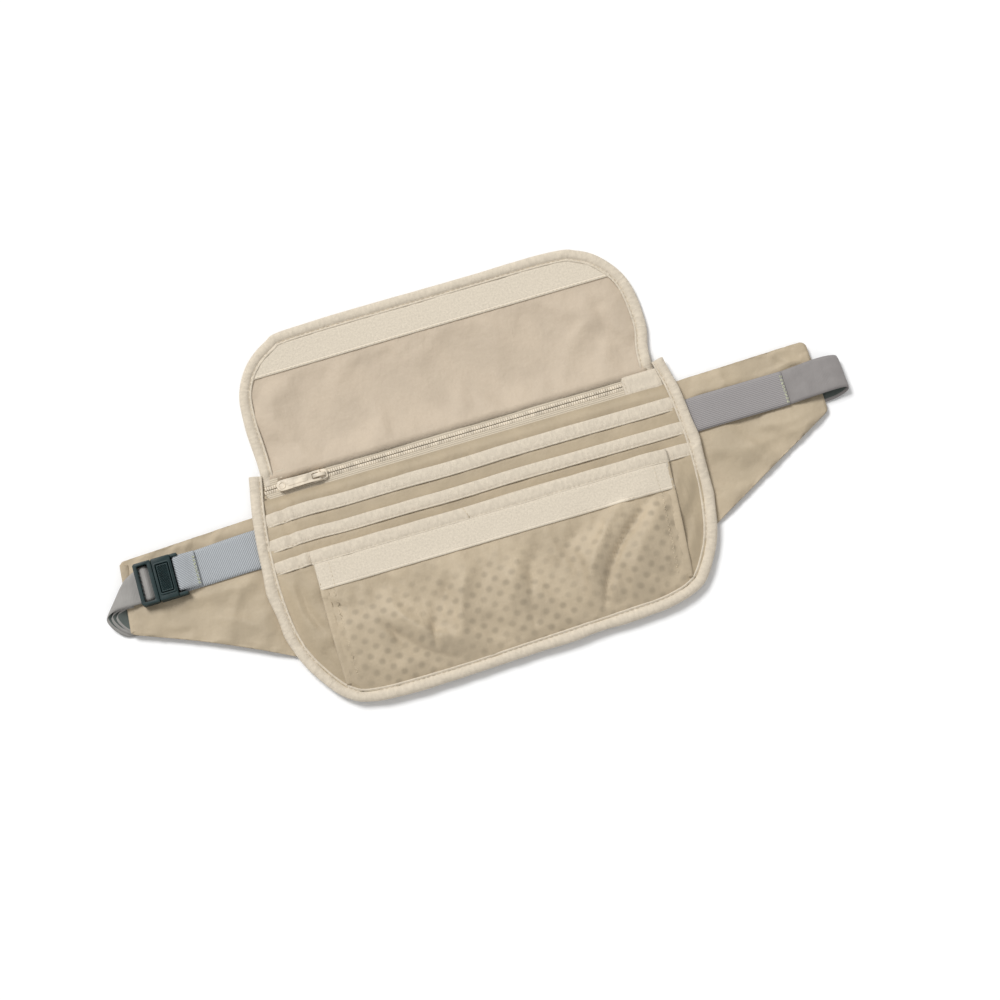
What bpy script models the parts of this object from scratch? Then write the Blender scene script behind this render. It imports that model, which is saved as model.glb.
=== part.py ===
"""Money belt with open flap: pouch with stacked pockets, two waist wings, webbing, elastic and buckle.

It lies on its back: X runs along the belt, Y towards the open flap, and Z out of the pouch's front.
Lengths below are in millimetres and MM turns them into metres.
The drawing's X and Y start at the middle of the pouch's top edge, and SHIFT moves them to the frame's
origin, which is the middle of the whole belt's box on the surface that it lies on.
"""

import math

import bmesh
import bpy
from mathutils import Vector

MM = 0.001
NAME = "money_belt"

# Outlines, in the order left top corner, round the bottom, right top corner.
POUCH_OUTLINE = [
    (-118.5, 0), (-121.8, -18), (-124.5, -45), (-124.3, -75), (-120.5, -99), (-112, -117), (-99, -133),
    (-82, -139), (-40, -139.9), (0, -138.6), (60, -136.2), (84, -134.7), (102, -128.5), (113, -114),
    (119.5, -98), (123.4, -72), (124, -45), (122, -18), (118.5, 0),
]
FLAP_OUTLINE = [
    (-112.6, -3.5), (-113, 14), (-113.7, 31), (-112, 48), (-104.2, 62.4), (-91, 72.4), (-75, 76.3), (0, 76.5),
    (72, 76.4), (90.9, 72.6), (104.1, 62.6), (112.9, 47.5), (115.3, 23), (112.4, 7), (111.8, -3.5),
]
LEFT_WING = [(-125.9, -22.3), (-199, -25.3), (-203, -67), (-163, -82.9), (-125.9, -100.3)]
RIGHT_WING = [(125, -15.2), (168, -15.6), (193.5, -12.8), (196.3, -18), (196.6, -55.6), (190.5, -60.2), (125, -94.5)]

# Layers, as (underside, top) heights above the surface.
STRAP_T = 1.0
GAP = 0.3
Z_BACK = (1.6, 2.2)
Z_MAIN = (4.3, 4.8)
Z_BILL = (9.3, 9.8)
Z_CARD = (10.3, 10.8)
Z_SLIP = (11.3, 11.8)
Z_FRONT = (12.3, 12.8)
Z_HOOK = (13.1, 13.9)
Z_EDGE = (1.4, 13.0)
Z_ZIP_TAPE = (3.6, 4.1)
Z_ZIP_COIL = (3.4, 4.6)
Z_FLAP_SHELL = (0.4, 0.9)
Z_FLAP_LINING = (1.2, 1.7)
Z_FLAP_EDGE = (0.3, 1.7)
Z_LOOP_STRIP = (2.0, 2.8)
Z_LEFT_WING_BACK = (2.7, 3.2)
Z_LEFT_WING_FRONT = (3.6, 4.1)
Z_RIGHT_WING_BACK = (1.4, 1.9)
Z_RIGHT_WING_FRONT = (2.3, 2.8)

EDGE_W = 4.0
MOUTH_TOPS = {"bill": -23.3, "card": -38.3, "slip": -50.6}
MOUTH_W = 8.2
FRONT_POCKET = (-97.0, 104.0)
FRONT_TOP = -51.1
FRONT_MOUTH_W = 7.0
HOOK_Y = (-73.6, -58.6)
LOOP_LEVEL = 53.5
FOLD_Y = -5.0
FOLD_Z = 8.6

# Zip.
ZIP_Y = -10.0
ZIP_X = (-110.0, 92.3)
COIL_OFF = (0.65, 2.05)
TAPE_UP = (-7.65, -5.3)
TAPE_LOW = (-16.0, -12.35)
END_TAB_X = (92.6, 113.5)
END_TAB_Y = (-15.8, -5.4)
SLIDER_X = -81.0
SLIDER_SIZE = (9.4, 6.5)
PULL_Z = 6.3
PULL_REACH = (5.0, 24.0)

# Webbing, elastic and waist strap.
STRAP_W = 19.4
WEB_W = 20.6
ELASTIC_Y = -36.2
WEB_SLANT = 0.035
WING_HINGE_X = 125.3

# Buckle.
BUCKLE_Y = -41.9
BUCKLE_W = 24.0
BUCKLE_Z = (4.6, 11.0)
SOCKET_X = (-182.0, -171.3)
ARM_END = -166.3
BAR_X = -168.9
BAR_Z = 7.0
BAR_R = 0.8
TONGUE_X = (-192.4, -182.3)
BUTTON_X = -176.6
BUTTON_SIZE = (6.6, 15.4)
ARM_T = 1.6
HALF_WAY = 10.5
BLADE_END = -174.0
BLADE_HALF = 9.0

SHIFT = (1.79, 31.61)
CURVE_STEP = 5.0
SPAN_STEPS = 5

FABRIC = (0.55, 0.455, 0.325)
CREAM = (0.70, 0.62, 0.50)
LOOP_CREAM = (0.72, 0.64, 0.52)
WEBBING = (0.40, 0.42, 0.44)
ELASTIC = (0.33, 0.32, 0.315)
STRAP = (0.31, 0.295, 0.28)
PLASTIC = (0.022, 0.042, 0.043)


def at(x, y, z):
    """A drawing point as a world point in metres."""
    return Vector(((x + SHIFT[0]) * MM, (y + SHIFT[1]) * MM, z * MM))


def clear_scene():
    for obj in list(bpy.data.objects):
        bpy.data.objects.remove(obj, do_unlink=True)


def new_collection(name):
    collection = bpy.data.collections.new(name)
    bpy.context.scene.collection.children.link(collection)
    return collection


def material(name, colour, roughness, metallic=0.0):
    mat = bpy.data.materials.new(name)
    mat.use_nodes = True
    shader = mat.node_tree.nodes["Principled BSDF"]
    shader.inputs["Base Color"].default_value = (*colour, 1.0)
    shader.inputs["Roughness"].default_value = roughness
    shader.inputs["Metallic"].default_value = metallic
    return mat


def finish_object(obj, name, colour, roughness, parts):
    obj.name = name
    obj.data.name = name
    obj.data.materials.clear()
    obj.data.materials.append(material(name, colour, roughness))
    for owner in list(obj.users_collection):
        owner.objects.unlink(obj)
    parts.objects.link(obj)
    return obj


# ---------------------------------------------------------------- outlines


def smooth(points, count_in):
    """A smooth curve through the points; count_in says how many steps a span gets."""
    padded = [2 * points[0] - points[1], *points, 2 * points[-1] - points[-2]]
    out = []
    for a, b, c, d in zip(padded, padded[1:], padded[2:], padded[3:]):
        count = count_in(c - b)
        for i in range(count):
            t = i / count
            out.append(0.5 * (2 * b + (c - a) * t + (2 * a - 5 * b + 4 * c - d) * t**2
                              + (3 * b - a - 3 * c + d) * t**3))
    return [*out, points[-1]]


def smooth_outline(pairs):
    """A plan outline with a point about every CURVE_STEP."""
    return smooth([Vector(pair) for pair in pairs], lambda span: max(1, round(span.length / CURVE_STEP)))


def smooth_spans(points):
    """A smooth line with the same number of points in every span, so that two edges stay in step."""
    return smooth(points, lambda span: SPAN_STEPS)


def inset(points, distance):
    """The outline moved to its inner side, which is on the left as it runs round the bottom."""
    out = []
    for i, point in enumerate(points):
        before = points[max(i - 1, 0)]
        after = points[min(i + 1, len(points) - 1)]
        along = (after - before).normalized()
        out.append(point + Vector((-along.y, along.x)) * distance)
    return out


def cut_level(points, level, keep_below):
    """The stretch of an open outline on one side of a level Y, ended exactly on it."""
    side = [(p.y <= level) == keep_below for p in points]
    first = side.index(True)
    last = len(side) - 1 - side[::-1].index(True)
    out = points[first : last + 1]
    if first > 0:
        out = [crossing(points[first - 1], points[first], level), *out]
    if last < len(points) - 1:
        out = [*out, crossing(points[last], points[last + 1], level)]
    return out


def crossing(a, b, level):
    return a.lerp(b, (level - a.y) / (b.y - a.y))


def cut_columns(points, low, high):
    """The stretch of the outline along the bottom between two values of X."""
    first = next(i for i, p in enumerate(points) if p.x > low)
    last = next(i for i, p in enumerate(points) if p.x > high and p.y < points[0].y - 50) - 1
    ends = [points[i].lerp(points[i + 1], (x - points[i].x) / (points[i + 1].x - points[i].x))
            for i, x in ((first - 1, low), (last, high))]
    return [ends[0], *points[first : last + 1], ends[1]]


def plate(name, outline, heights, colour, roughness, parts):
    """A flat sheet with the given plan outline between two heights."""
    curve = bpy.data.curves.new(name, "CURVE")
    curve.dimensions = "2D"
    curve.fill_mode = "BOTH"
    curve.extrude = (heights[1] - heights[0]) / 2 * MM
    spline = curve.splines.new("POLY")
    spline.points.add(len(outline) - 1)
    for point, plan in zip(spline.points, outline):
        point.co = (plan[0] * MM, plan[1] * MM, 0, 1)
    spline.use_cyclic_u = True
    obj = bpy.data.objects.new(name, curve)
    obj.location = at(0, 0, sum(heights) / 2)
    parts.objects.link(obj)
    weld = obj.modifiers.new("Weld", "WELD")
    weld.merge_threshold = 0.00001
    return finish_object(obj, name, colour, roughness, parts)


def strip(name, x, y, heights, colour, roughness, parts):
    """A straight rectangular sheet."""
    corners = [(x[0], y[0]), (x[1], y[0]), (x[1], y[1]), (x[0], y[1])]
    return plate(name, corners, heights, colour, roughness, parts)


def box(name, x, y, z, colour, roughness, parts):
    bpy.ops.mesh.primitive_cube_add(size=1)
    obj = bpy.context.object
    obj.location = at(sum(x) / 2, sum(y) / 2, sum(z) / 2)
    obj.scale = [(side[1] - side[0]) * MM for side in (x, y, z)]
    bpy.ops.object.transform_apply(location=False, rotation=False, scale=True)
    return finish_object(obj, name, colour, roughness, parts)


def rod(name, centre, radius, length, colour, parts):
    """A round bar along Y."""
    bpy.ops.mesh.primitive_cylinder_add(vertices=24, radius=radius * MM, depth=length * MM)
    obj = bpy.context.object
    obj.rotation_euler = (math.pi / 2, 0, 0)
    obj.location = at(*centre)
    return finish_object(obj, name, colour, 0.4, parts)


def combine(obj, tool, operation, cutters):
    """Adds the tool to the object or cuts it away."""
    change = obj.modifiers.new(tool.name, "BOOLEAN")
    change.operation = operation
    change.object = tool
    change.solver = "EXACT"
    for owner in list(tool.users_collection):
        owner.objects.unlink(tool)
    cutters.objects.link(tool)
    tool.hide_render = True
    tool.display_type = "WIRE"


def soften(obj, width):
    bevel = obj.modifiers.new("Bevel", "BEVEL")
    bevel.width = width * MM
    bevel.segments = 2
    bevel.limit_method = "ANGLE"


def ribbon(name, upper, lower, colour, parts):
    """A band of webbing between two edge lines, which follow the same turns."""
    mesh = bpy.data.meshes.new(name)
    shape = bmesh.new()
    edges = [smooth_spans([Vector(p) for p in line]) for line in (upper, lower)]
    for point in edges[0] + edges[1]:
        point.z = max(point.z, STRAP_T / 2)
    rows = [[shape.verts.new(at(*a.lerp(b, k / 4))) for k in range(5)] for a, b in zip(*edges)]
    for row, following in zip(rows, rows[1:]):
        for k in range(4):
            shape.faces.new((row[k], row[k + 1], following[k + 1], following[k]))
    shape.to_mesh(mesh)
    shape.free()
    obj = bpy.data.objects.new(name, mesh)
    parts.objects.link(obj)
    solid = obj.modifiers.new("Solidify", "SOLIDIFY")
    solid.thickness = STRAP_T * MM
    solid.offset = 0
    return finish_object(obj, name, colour, 0.8, parts)


# ---------------------------------------------------------------- pouch


def pouch(parts):
    edge = smooth_outline(POUCH_OUTLINE)
    inner = inset(edge, EDGE_W)
    panel = inset(edge, EDGE_W + GAP)

    def sheet(name, top, heights, colour=FABRIC):
        return plate(name, cut_level(panel, top, True), heights, colour, 0.85, parts)

    def mouth(name, top, heights):
        """A folded tape along a pocket's mouth, as wide as the pouch there."""
        left, right = (cut_level(panel, top - MOUTH_W / 2, True)[k].x for k in (0, -1))
        strip(name, (left + GAP, right - GAP), (top - MOUTH_W, top), heights, CREAM, 0.85, parts)

    plate("edge_binding", [*edge, *reversed(inner)], Z_EDGE, CREAM, 0.85, parts)
    sheet("back_panel", FOLD_Y, Z_BACK)
    sheet("main_front_panel", TAPE_LOW[0] - GAP, Z_MAIN)
    for key, heights in (("bill", Z_BILL), ("card", Z_CARD), ("slip", Z_SLIP)):
        top = MOUTH_TOPS[key]
        sheet(key + "_pocket_panel", top - MOUTH_W - GAP, heights)
        mouth(key + "_pocket_binding", top, (heights[0] - 0.2, heights[0] + 0.75))

    front = cut_columns(panel, *FRONT_POCKET)
    top = FRONT_TOP - FRONT_MOUTH_W - GAP
    outline = [(FRONT_POCKET[0], top), *front, (FRONT_POCKET[1], top)]
    plate("front_pocket_panel", outline, Z_FRONT, FABRIC, 0.85, parts)
    strip("front_pocket_binding", FRONT_POCKET, (FRONT_TOP - FRONT_MOUTH_W, FRONT_TOP), (12.3, 13.3),
          CREAM, 0.85, parts)
    strip("hook_strip", (FRONT_POCKET[0] + 1, FRONT_POCKET[1] - 1), HOOK_Y, Z_HOOK, LOOP_CREAM, 0.95, parts)


def zip_parts(parts, cutters):
    for side, tape in ((1, TAPE_UP), (-1, TAPE_LOW)):
        row = sorted((ZIP_Y + side * COIL_OFF[0], ZIP_Y + side * COIL_OFF[1]))
        word = "upper" if side > 0 else "lower"
        strip("zip_tape_" + word, ZIP_X, tape, Z_ZIP_TAPE, FABRIC, 0.85, parts)
        strip("zip_coil_" + word, ZIP_X, row, Z_ZIP_COIL, CREAM, 0.5, parts)
    strip("zip_end_tab", END_TAB_X, END_TAB_Y, (3.4, 4.75), CREAM, 0.85, parts)

    x = (SLIDER_X - SLIDER_SIZE[0] / 2, SLIDER_X + SLIDER_SIZE[0] / 2)
    y = (ZIP_Y - SLIDER_SIZE[1] / 2, ZIP_Y + SLIDER_SIZE[1] / 2)
    slider = box("zip_slider", x, y, (4.9, 5.55), CREAM, 0.35, parts)
    combine(slider, box("slider_lower_plate", x, y, (2.5, 3.1), CREAM, 0.35, parts), "UNION", cutters)
    combine(slider, box("slider_bridge", (x[0], x[0] + 2.5), (ZIP_Y - 0.32, ZIP_Y + 0.32), (2.8, 5.2),
                        CREAM, 0.35, parts), "UNION", cutters)
    crown = box("slider_crown", (SLIDER_X - 3.4, SLIDER_X + 3.4), (ZIP_Y - 1.2, ZIP_Y + 1.2), (5.2, 7.7),
                CREAM, 0.35, parts)
    combine(crown, box("crown_opening", (SLIDER_X - 2.4, SLIDER_X + 2.4), (ZIP_Y - 2, ZIP_Y + 2), (5.3, 7.1),
                       CREAM, 0.35, parts), "DIFFERENCE", cutters)
    combine(slider, crown, "UNION", cutters)

    near, far = (SLIDER_X - reach for reach in PULL_REACH)
    pull = box("zip_pull", (far, near), (ZIP_Y - 3, ZIP_Y + 3), (PULL_Z - 0.45, PULL_Z + 0.45),
               CREAM, 0.4, parts)
    soften(pull, 0.3)
    for y in (-2.25, 2.25):
        arm = box("pull_arm", (near - 1, SLIDER_X + 0.45), (ZIP_Y + y - 0.6, ZIP_Y + y + 0.6),
                  (PULL_Z - 0.45, PULL_Z + 0.45), CREAM, 0.4, parts)
        combine(pull, arm, "UNION", cutters)
    combine(pull, rod("pull_pin", (SLIDER_X, ZIP_Y, PULL_Z), 0.45, 5.4, CREAM, parts), "UNION", cutters)
    hole = box("pull_hole", (far + 1.6, far + 5.6), (ZIP_Y - 1.2, ZIP_Y + 1.2), (5, 8), CREAM, 0.4, parts)
    combine(pull, hole, "DIFFERENCE", cutters)


def flap(parts):
    edge = smooth_outline(FLAP_OUTLINE[::-1])
    inner = inset(edge, EDGE_W)
    panel = inset(edge, EDGE_W + GAP)
    plate("flap_binding", [*edge, *reversed(inner)], Z_FLAP_EDGE, CREAM, 0.85, parts)
    plate("flap_shell", panel, Z_FLAP_SHELL, FABRIC, 0.85, parts)
    plate("flap_lining", panel, Z_FLAP_LINING, FABRIC, 0.85, parts)
    plate("loop_strip", cut_level(panel, LOOP_LEVEL, False), Z_LOOP_STRIP, LOOP_CREAM, 0.95, parts)


# ---------------------------------------------------------------- wings and straps


def flat_band(name, x, y, height, colour, parts):
    """A flat strap from one X to another whose middle may slant in Y."""
    half = STRAP_W / 2
    corners = [(x[0], y[0] - half), (x[1], y[1] - half), (x[1], y[1] + half), (x[0], y[0] + half)]
    return plate(name, corners, (height, height + STRAP_T), colour, 0.8, parts)


def wings(parts):
    for side, outline, back, front in (
        ("left", LEFT_WING, Z_LEFT_WING_BACK, Z_LEFT_WING_FRONT),
        ("right", RIGHT_WING, Z_RIGHT_WING_BACK, Z_RIGHT_WING_FRONT),
    ):
        plate(side + "_wing_back", outline, back, FABRIC, 0.85, parts)
        plate(side + "_wing_front", outline, front, FABRIC, 0.85, parts)


def left_webbing(parts):
    """The short web sewn to the pouch, folded back round the buckle's bar."""
    turn = BAR_R + GAP + 0.05 + STRAP_T / 2
    bend = [(BAR_X - turn * math.sin(a), BAR_Z - turn * math.cos(a))
            for a in (math.radians(45 * k) for k in range(5))]
    route = [(-125.9, 5.0), (-145, 5.0), (-158, 5.0), (-164, 5.1), *bend, (-163.5, 7.4), (-159, 6.5), (-156, 6.4)]
    half = WEB_W / 2
    edges = [[(x, BUCKLE_Y + (x - BAR_X) * WEB_SLANT + side * half, z) for x, z in route] for side in (1, -1)]
    ribbon("left_webbing", *edges, WEBBING, parts)


def waist_strap(parts):
    upper = [(-186.3, -32.2, 6.4), (-192, -32.4, 6.4), (-196, -34.6, 6.4), (-199.6, -37, 6.0),
             (-202.3, -40.5, 3.4), (-199, -45, 0.9), (-193, -47, 0.5), (-178, -47.6, 0.5), (-160, -47.8, 0.5)]
    lower = [(-186.3, -51.6, 6.4), (-196, -51.5, 6.4), (-207, -51.3, 6.3), (-213.4, -53.8, 4.2),
             (-211, -61, 1.5), (-203, -66.2, 0.5), (-193, -66.8, 0.5), (-182, -67, 0.5), (-160, -67.2, 0.5)]
    ribbon("waist_strap_left", upper, lower, STRAP, parts)
    flat_band("waist_strap_left_run", (-194, -125.9), (-57.4, -55.2), 1.3, STRAP, parts)
    flat_band("waist_strap_middle", (-118, 124.6), (-54.8, -41), 0, STRAP, parts)

    upper = [(168, -26.5, 3.6), (177.5, -26.4, 3.7), (184, -26.2, 4.7), (199, -25.5, 5.0), (207.4, -26, 4.2),
             (209.2, -27.6, 2.4), (204, -29, 0.6), (196, -29.5, 0.5), (160, -30.4, 0.5), (125.9, -31.3, 0.5)]
    lower = [(x + 0.3 * (x > 206), y - STRAP_W - 0.7 * (z < 3), z) for x, y, z in upper]
    ribbon("waist_strap_right", upper, lower, STRAP, parts)
    flat_band("elastic_band", (125.9, 177), (ELASTIC_Y, ELASTIC_Y), 4.4, ELASTIC, parts)


# ---------------------------------------------------------------- buckle


def buckle(parts, cutters):
    half = BUCKLE_W / 2
    y = (BUCKLE_Y - half, BUCKLE_Y + half)

    socket = box("buckle_socket", SOCKET_X, y, BUCKLE_Z, PLASTIC, 0.4, parts)
    for side in (-1, 1):
        arm = sorted((BUCKLE_Y + side * half, BUCKLE_Y + side * (half - ARM_T)))
        combine(socket, box("socket_arm", (SOCKET_X[1] - 1, ARM_END), arm, (5.4, 8.8), PLASTIC, 0.4, parts),
                "UNION", cutters)
    combine(socket, rod("socket_bar", (BAR_X, BUCKLE_Y, BAR_Z), BAR_R, BUCKLE_W - 1, PLASTIC, parts),
            "UNION", cutters)
    way = (BUCKLE_Y - BLADE_HALF - 0.5, BUCKLE_Y + BLADE_HALF + 0.5)
    combine(socket, box("socket_cavity", (SOCKET_X[0] - 1, BLADE_END + 0.8), way, (6.2, 8.7), PLASTIC, 0.4, parts),
            "DIFFERENCE", cutters)
    window = [(BUTTON_X - BUTTON_SIZE[0] / 2 - GAP, BUTTON_X + BUTTON_SIZE[0] / 2 + GAP),
              (BUCKLE_Y - BUTTON_SIZE[1] / 2 - GAP, BUCKLE_Y + BUTTON_SIZE[1] / 2 + GAP)]
    combine(socket, box("socket_window", *window, (8, 12), PLASTIC, 0.4, parts), "DIFFERENCE", cutters)

    button = box("release_button", (BUTTON_X - BUTTON_SIZE[0] / 2, BUTTON_X + BUTTON_SIZE[0] / 2),
                 (BUCKLE_Y - BUTTON_SIZE[1] / 2, BUCKLE_Y + BUTTON_SIZE[1] / 2), (9.6, 11.2),
                 PLASTIC, 0.5, parts)
    soften(button, 0.25)

    tongue = box("buckle_tongue", TONGUE_X, y, (4.8, 10.6), PLASTIC, 0.4, parts)
    slot = (TONGUE_X[0] + 2.0, TONGUE_X[1] - 2.6)
    combine(tongue, box("tongue_slot", slot, (BUCKLE_Y - HALF_WAY, BUCKLE_Y + HALF_WAY), (4, 12), PLASTIC, 0.4, parts),
            "DIFFERENCE", cutters)
    combine(tongue, box("strap_way", (TONGUE_X[0] - 1, slot[1]), (BUCKLE_Y - HALF_WAY, BUCKLE_Y + HALF_WAY), (4, 7.3),
                        PLASTIC, 0.4, parts), "DIFFERENCE", cutters)
    combine(tongue, box("tongue_blade", (TONGUE_X[1] - 1, BLADE_END), (BUCKLE_Y - BLADE_HALF, BUCKLE_Y + BLADE_HALF), (6.5, 8.3),
                        PLASTIC, 0.4, parts), "UNION", cutters)


def hang(name, place, pieces):
    """Parents the pieces to an empty on their joint's axis, where they stay in place."""
    pivot = bpy.data.objects.new(name, None)
    pivot.location = at(*place)
    pivot.empty_display_size = 10 * MM
    bpy.context.scene.collection.objects.link(pivot)
    for piece in pieces:
        obj = bpy.data.objects[piece]
        obj.parent = pivot
        obj.location = obj.location - pivot.location


def joints():
    hang("flap_fold_axis", (0, FOLD_Y, FOLD_Z), ("flap_binding", "flap_lining", "flap_shell", "loop_strip"))
    hang("pull_flip_axis", (SLIDER_X, ZIP_Y, PULL_Z), ("zip_pull",))
    hang("left_wing_axis", (-WING_HINGE_X, 0, 0), (
        "buckle_socket", "left_webbing", "left_wing_back", "left_wing_front", "waist_strap_left_run"))
    hang("right_wing_axis", (WING_HINGE_X, 0, 0), (
        "elastic_band", "right_wing_back", "right_wing_front", "waist_strap_right"))
    hang("buckle_release_axis", (TONGUE_X[1], BUCKLE_Y, BAR_Z), ("buckle_tongue", "waist_strap_left"))


def main():
    clear_scene()
    parts = new_collection(NAME)
    cutters = new_collection("cutters")
    pouch(parts)
    zip_parts(parts, cutters)
    flap(parts)
    wings(parts)
    left_webbing(parts)
    waist_strap(parts)
    buckle(parts, cutters)
    joints()


main()
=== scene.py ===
"""The looks of the money belt: cloth, tapes, webbing, stitching, zip and buckle, around the CAD frame.

Shapes are drawn in millimetres with X along the belt, Y towards the flap and Z out of the front.
X and Y start at the middle of the pouch's top edge, and point() places a drawing point in the frame.
"""

import math

import bmesh
import bpy
import numpy as np
from mathutils import Matrix, Vector


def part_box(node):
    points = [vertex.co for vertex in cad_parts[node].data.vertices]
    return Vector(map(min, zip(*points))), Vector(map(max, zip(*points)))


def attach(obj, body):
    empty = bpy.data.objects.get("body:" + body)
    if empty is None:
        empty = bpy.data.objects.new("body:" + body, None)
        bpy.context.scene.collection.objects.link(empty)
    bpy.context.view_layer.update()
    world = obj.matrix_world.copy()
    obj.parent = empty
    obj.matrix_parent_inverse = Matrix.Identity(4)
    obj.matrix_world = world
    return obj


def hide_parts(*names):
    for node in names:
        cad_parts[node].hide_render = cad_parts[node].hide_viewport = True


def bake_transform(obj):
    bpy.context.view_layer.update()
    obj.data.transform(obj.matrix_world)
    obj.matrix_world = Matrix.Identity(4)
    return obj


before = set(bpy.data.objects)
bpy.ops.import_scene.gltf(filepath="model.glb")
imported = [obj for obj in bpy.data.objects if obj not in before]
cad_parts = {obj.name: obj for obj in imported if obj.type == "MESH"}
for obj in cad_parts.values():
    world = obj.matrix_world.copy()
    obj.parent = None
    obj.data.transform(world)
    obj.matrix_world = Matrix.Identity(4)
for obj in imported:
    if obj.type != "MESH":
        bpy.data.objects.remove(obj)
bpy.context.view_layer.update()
MM = 0.001

# ---------------------------------------------------------------- drawing

POUCH_OUTLINE = [
    (-118.5, 0), (-121.8, -18), (-124.5, -45), (-124.3, -75), (-120.5, -99), (-112, -117), (-99, -133),
    (-82, -139), (-40, -139.9), (0, -138.6), (60, -136.2), (84, -134.7), (102, -128.5), (113, -114),
    (119.5, -98), (123.4, -72), (124, -45), (122, -18), (118.5, 0),
]
FLAP_OUTLINE = [
    (-112.3, -8), (-112.6, 0), (-113, 14), (-113.7, 31), (-112, 48), (-104.2, 62.4), (-91, 72.4), (-75, 76.3),
    (0, 76.5), (72, 76.4), (90.9, 72.6), (104.1, 62.6), (112.9, 47.5), (115.3, 23), (112.4, 7), (111.6, -8),
]
LEFT_WING_ROOT, LEFT_WING_END = (-119.0, -22.0, -103.0), (-199.4, -25.3, -66.6)
RIGHT_WING_ROOT, RIGHT_WING_END = (119.0, -15.0, -98.0), (195.6, -13.4, -56.0)

SEAM_Z = 4.0
BINDING_W = 7.0
SHEET_T = 0.34
PUFF_REACH = 36.0
LAYER_Z = {"back": 1.9, "main": 4.7, "bill": 7.4, "card": 8.1, "slip": 8.9, "front": 11.3}
SEAM_STEP = {"back": -0.5, "main": -0.3, "bill": 0.0, "card": 0.15, "slip": 0.3, "front": 0.45}

MOUTHS = {"bill": (-23.3, -31.3), "card": (-38.2, -45.6), "slip": (-50.6, -58.2)}
FRONT_MOUTH = (-51.1, -58.8)
HOOK_BAND = (-58.6, -73.6)
FRONT_LEFT, FRONT_RIGHT_TOP, FRONT_RIGHT_LOW = -96.8, 104.5, 99.3
LOOP_BAND = (69.8, 53.4)

FOLD_Y = -5.0
ZIP_Y = -10.0
SLIDER_X = -81.0
ZIP_ENDS = (-112.0, 95.0)
STRAP_W = 19.4
ELASTIC_Y = -36.2
BUCKLE_Y = -41.9
SIM_SCALE = 20.0


# ---------------------------------------------------------------- number helpers


def smooth_line(points, step=1.0, count=None):
    """A smooth curve through the points, with one about every step, or so many in each span."""
    points = np.asarray(points, float)
    padded = np.vstack([2 * points[0] - points[1], points, 2 * points[-1] - points[-2]])
    spans = []
    for a, b, c, d in zip(padded, padded[1:], padded[2:], padded[3:]):
        parts = count or max(1, round(np.linalg.norm(c - b) / step))
        t = (np.arange(parts) / parts)[:, None]
        curve = 2 * b + (c - a) * t + (2 * a - 5 * b + 4 * c - d) * t**2 + (3 * b - a - 3 * c + d) * t**3
        spans.append(0.5 * curve)
    return np.vstack([*spans, points[-1:]])


def run_along(line):
    """How far along a line each of its points is."""
    return np.concatenate([[0], np.cumsum(np.linalg.norm(np.diff(line, axis=0), axis=1))])


def evenly(line, step):
    """The line with a point every step along its length."""
    line = np.asarray(line, float)
    run = run_along(line)
    marks = np.linspace(0, run[-1], max(2, round(run[-1] / step) + 1))
    return np.stack([np.interp(marks, run, line[:, k]) for k in range(line.shape[1])], 1)


def noise(x, y, size, seed):
    """Soft noise from -1 to 1 over a plane, with bumps about size across."""
    table = np.random.RandomState(seed).uniform(-1, 1, (64, 64))
    x, y = np.asarray(x, float) / size + 17.3, np.asarray(y, float) / size + 9.1
    column, row = np.floor(x).astype(int), np.floor(y).astype(int)
    u, v = x - column, y - row
    u, v = (t**3 * (t * (6 * t - 15) + 10) for t in (u, v))

    def corner(i, j):
        return table[(column + i) % 64, (row + j) % 64]

    low = corner(0, 0) * (1 - u) + corner(1, 0) * u
    high = corner(0, 1) * (1 - u) + corner(1, 1) * u
    return low * (1 - v) + high * v


def smoothstep(low, high, value):
    """From 0 at low to 1 at high, smooth at both ends; high may be the smaller one."""
    t = np.clip((np.asarray(value, float) - low) / (high - low), 0, 1)
    return t * t * (3 - 2 * t)


def distance_to(line, x, y):
    """How far each plan point is from a plan polyline."""
    a, b = line[:-1, :2], line[1:, :2]
    span = b - a
    best = np.full(np.shape(x), 1e9)
    for start, along in zip(a, span):
        t = np.clip(((x - start[0]) * along[0] + (y - start[1]) * along[1]) / (along @ along), 0, 1)
        best = np.minimum(best, np.hypot(x - start[0] - t * along[0], y - start[1] - t * along[1]))
    return best


def fold(x, y, start, end, width, height, bend=0.12):
    """A soft ridge, or a valley if the height is negative, from one plan point to another."""
    along = np.subtract(end, start)
    length = np.linalg.norm(along)
    along = along / length
    t = ((x - start[0]) * along[0] + (y - start[1]) * along[1]) / length
    side = (x - start[0]) * -along[1] + (y - start[1]) * along[0]
    side = side + bend * length * np.sin(t * 2.6)
    taper = smoothstep(-0.15, 0.25, t) * (1 - smoothstep(0.7, 1.15, t))
    return height * np.exp(-(np.abs(side / width) ** 1.4)) * taper


def folds(x, y, rows):
    """The sum of several folds, each (start x, start y, end x, end y, width, height)."""
    return sum(fold(x, y, row[:2], row[2:4], *row[4:]) for row in rows)


POUCH_EDGE = smooth_line(POUCH_OUTLINE, 2.0)
FLAP_EDGE = smooth_line(FLAP_OUTLINE[::-1], 2.0)
EDGE_LOW, EDGE_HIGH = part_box("edge_binding")
ORIGIN = np.array([EDGE_LOW[0] / MM - POUCH_EDGE[:, 0].min(), EDGE_HIGH[1] / MM, 0.0])


def point(x, y, z):
    """A drawing point in the frame, in metres."""
    return Vector(((x + ORIGIN[0]) * MM, (y + ORIGIN[1]) * MM, z * MM))


# ---------------------------------------------------------------- mesh helpers


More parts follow.
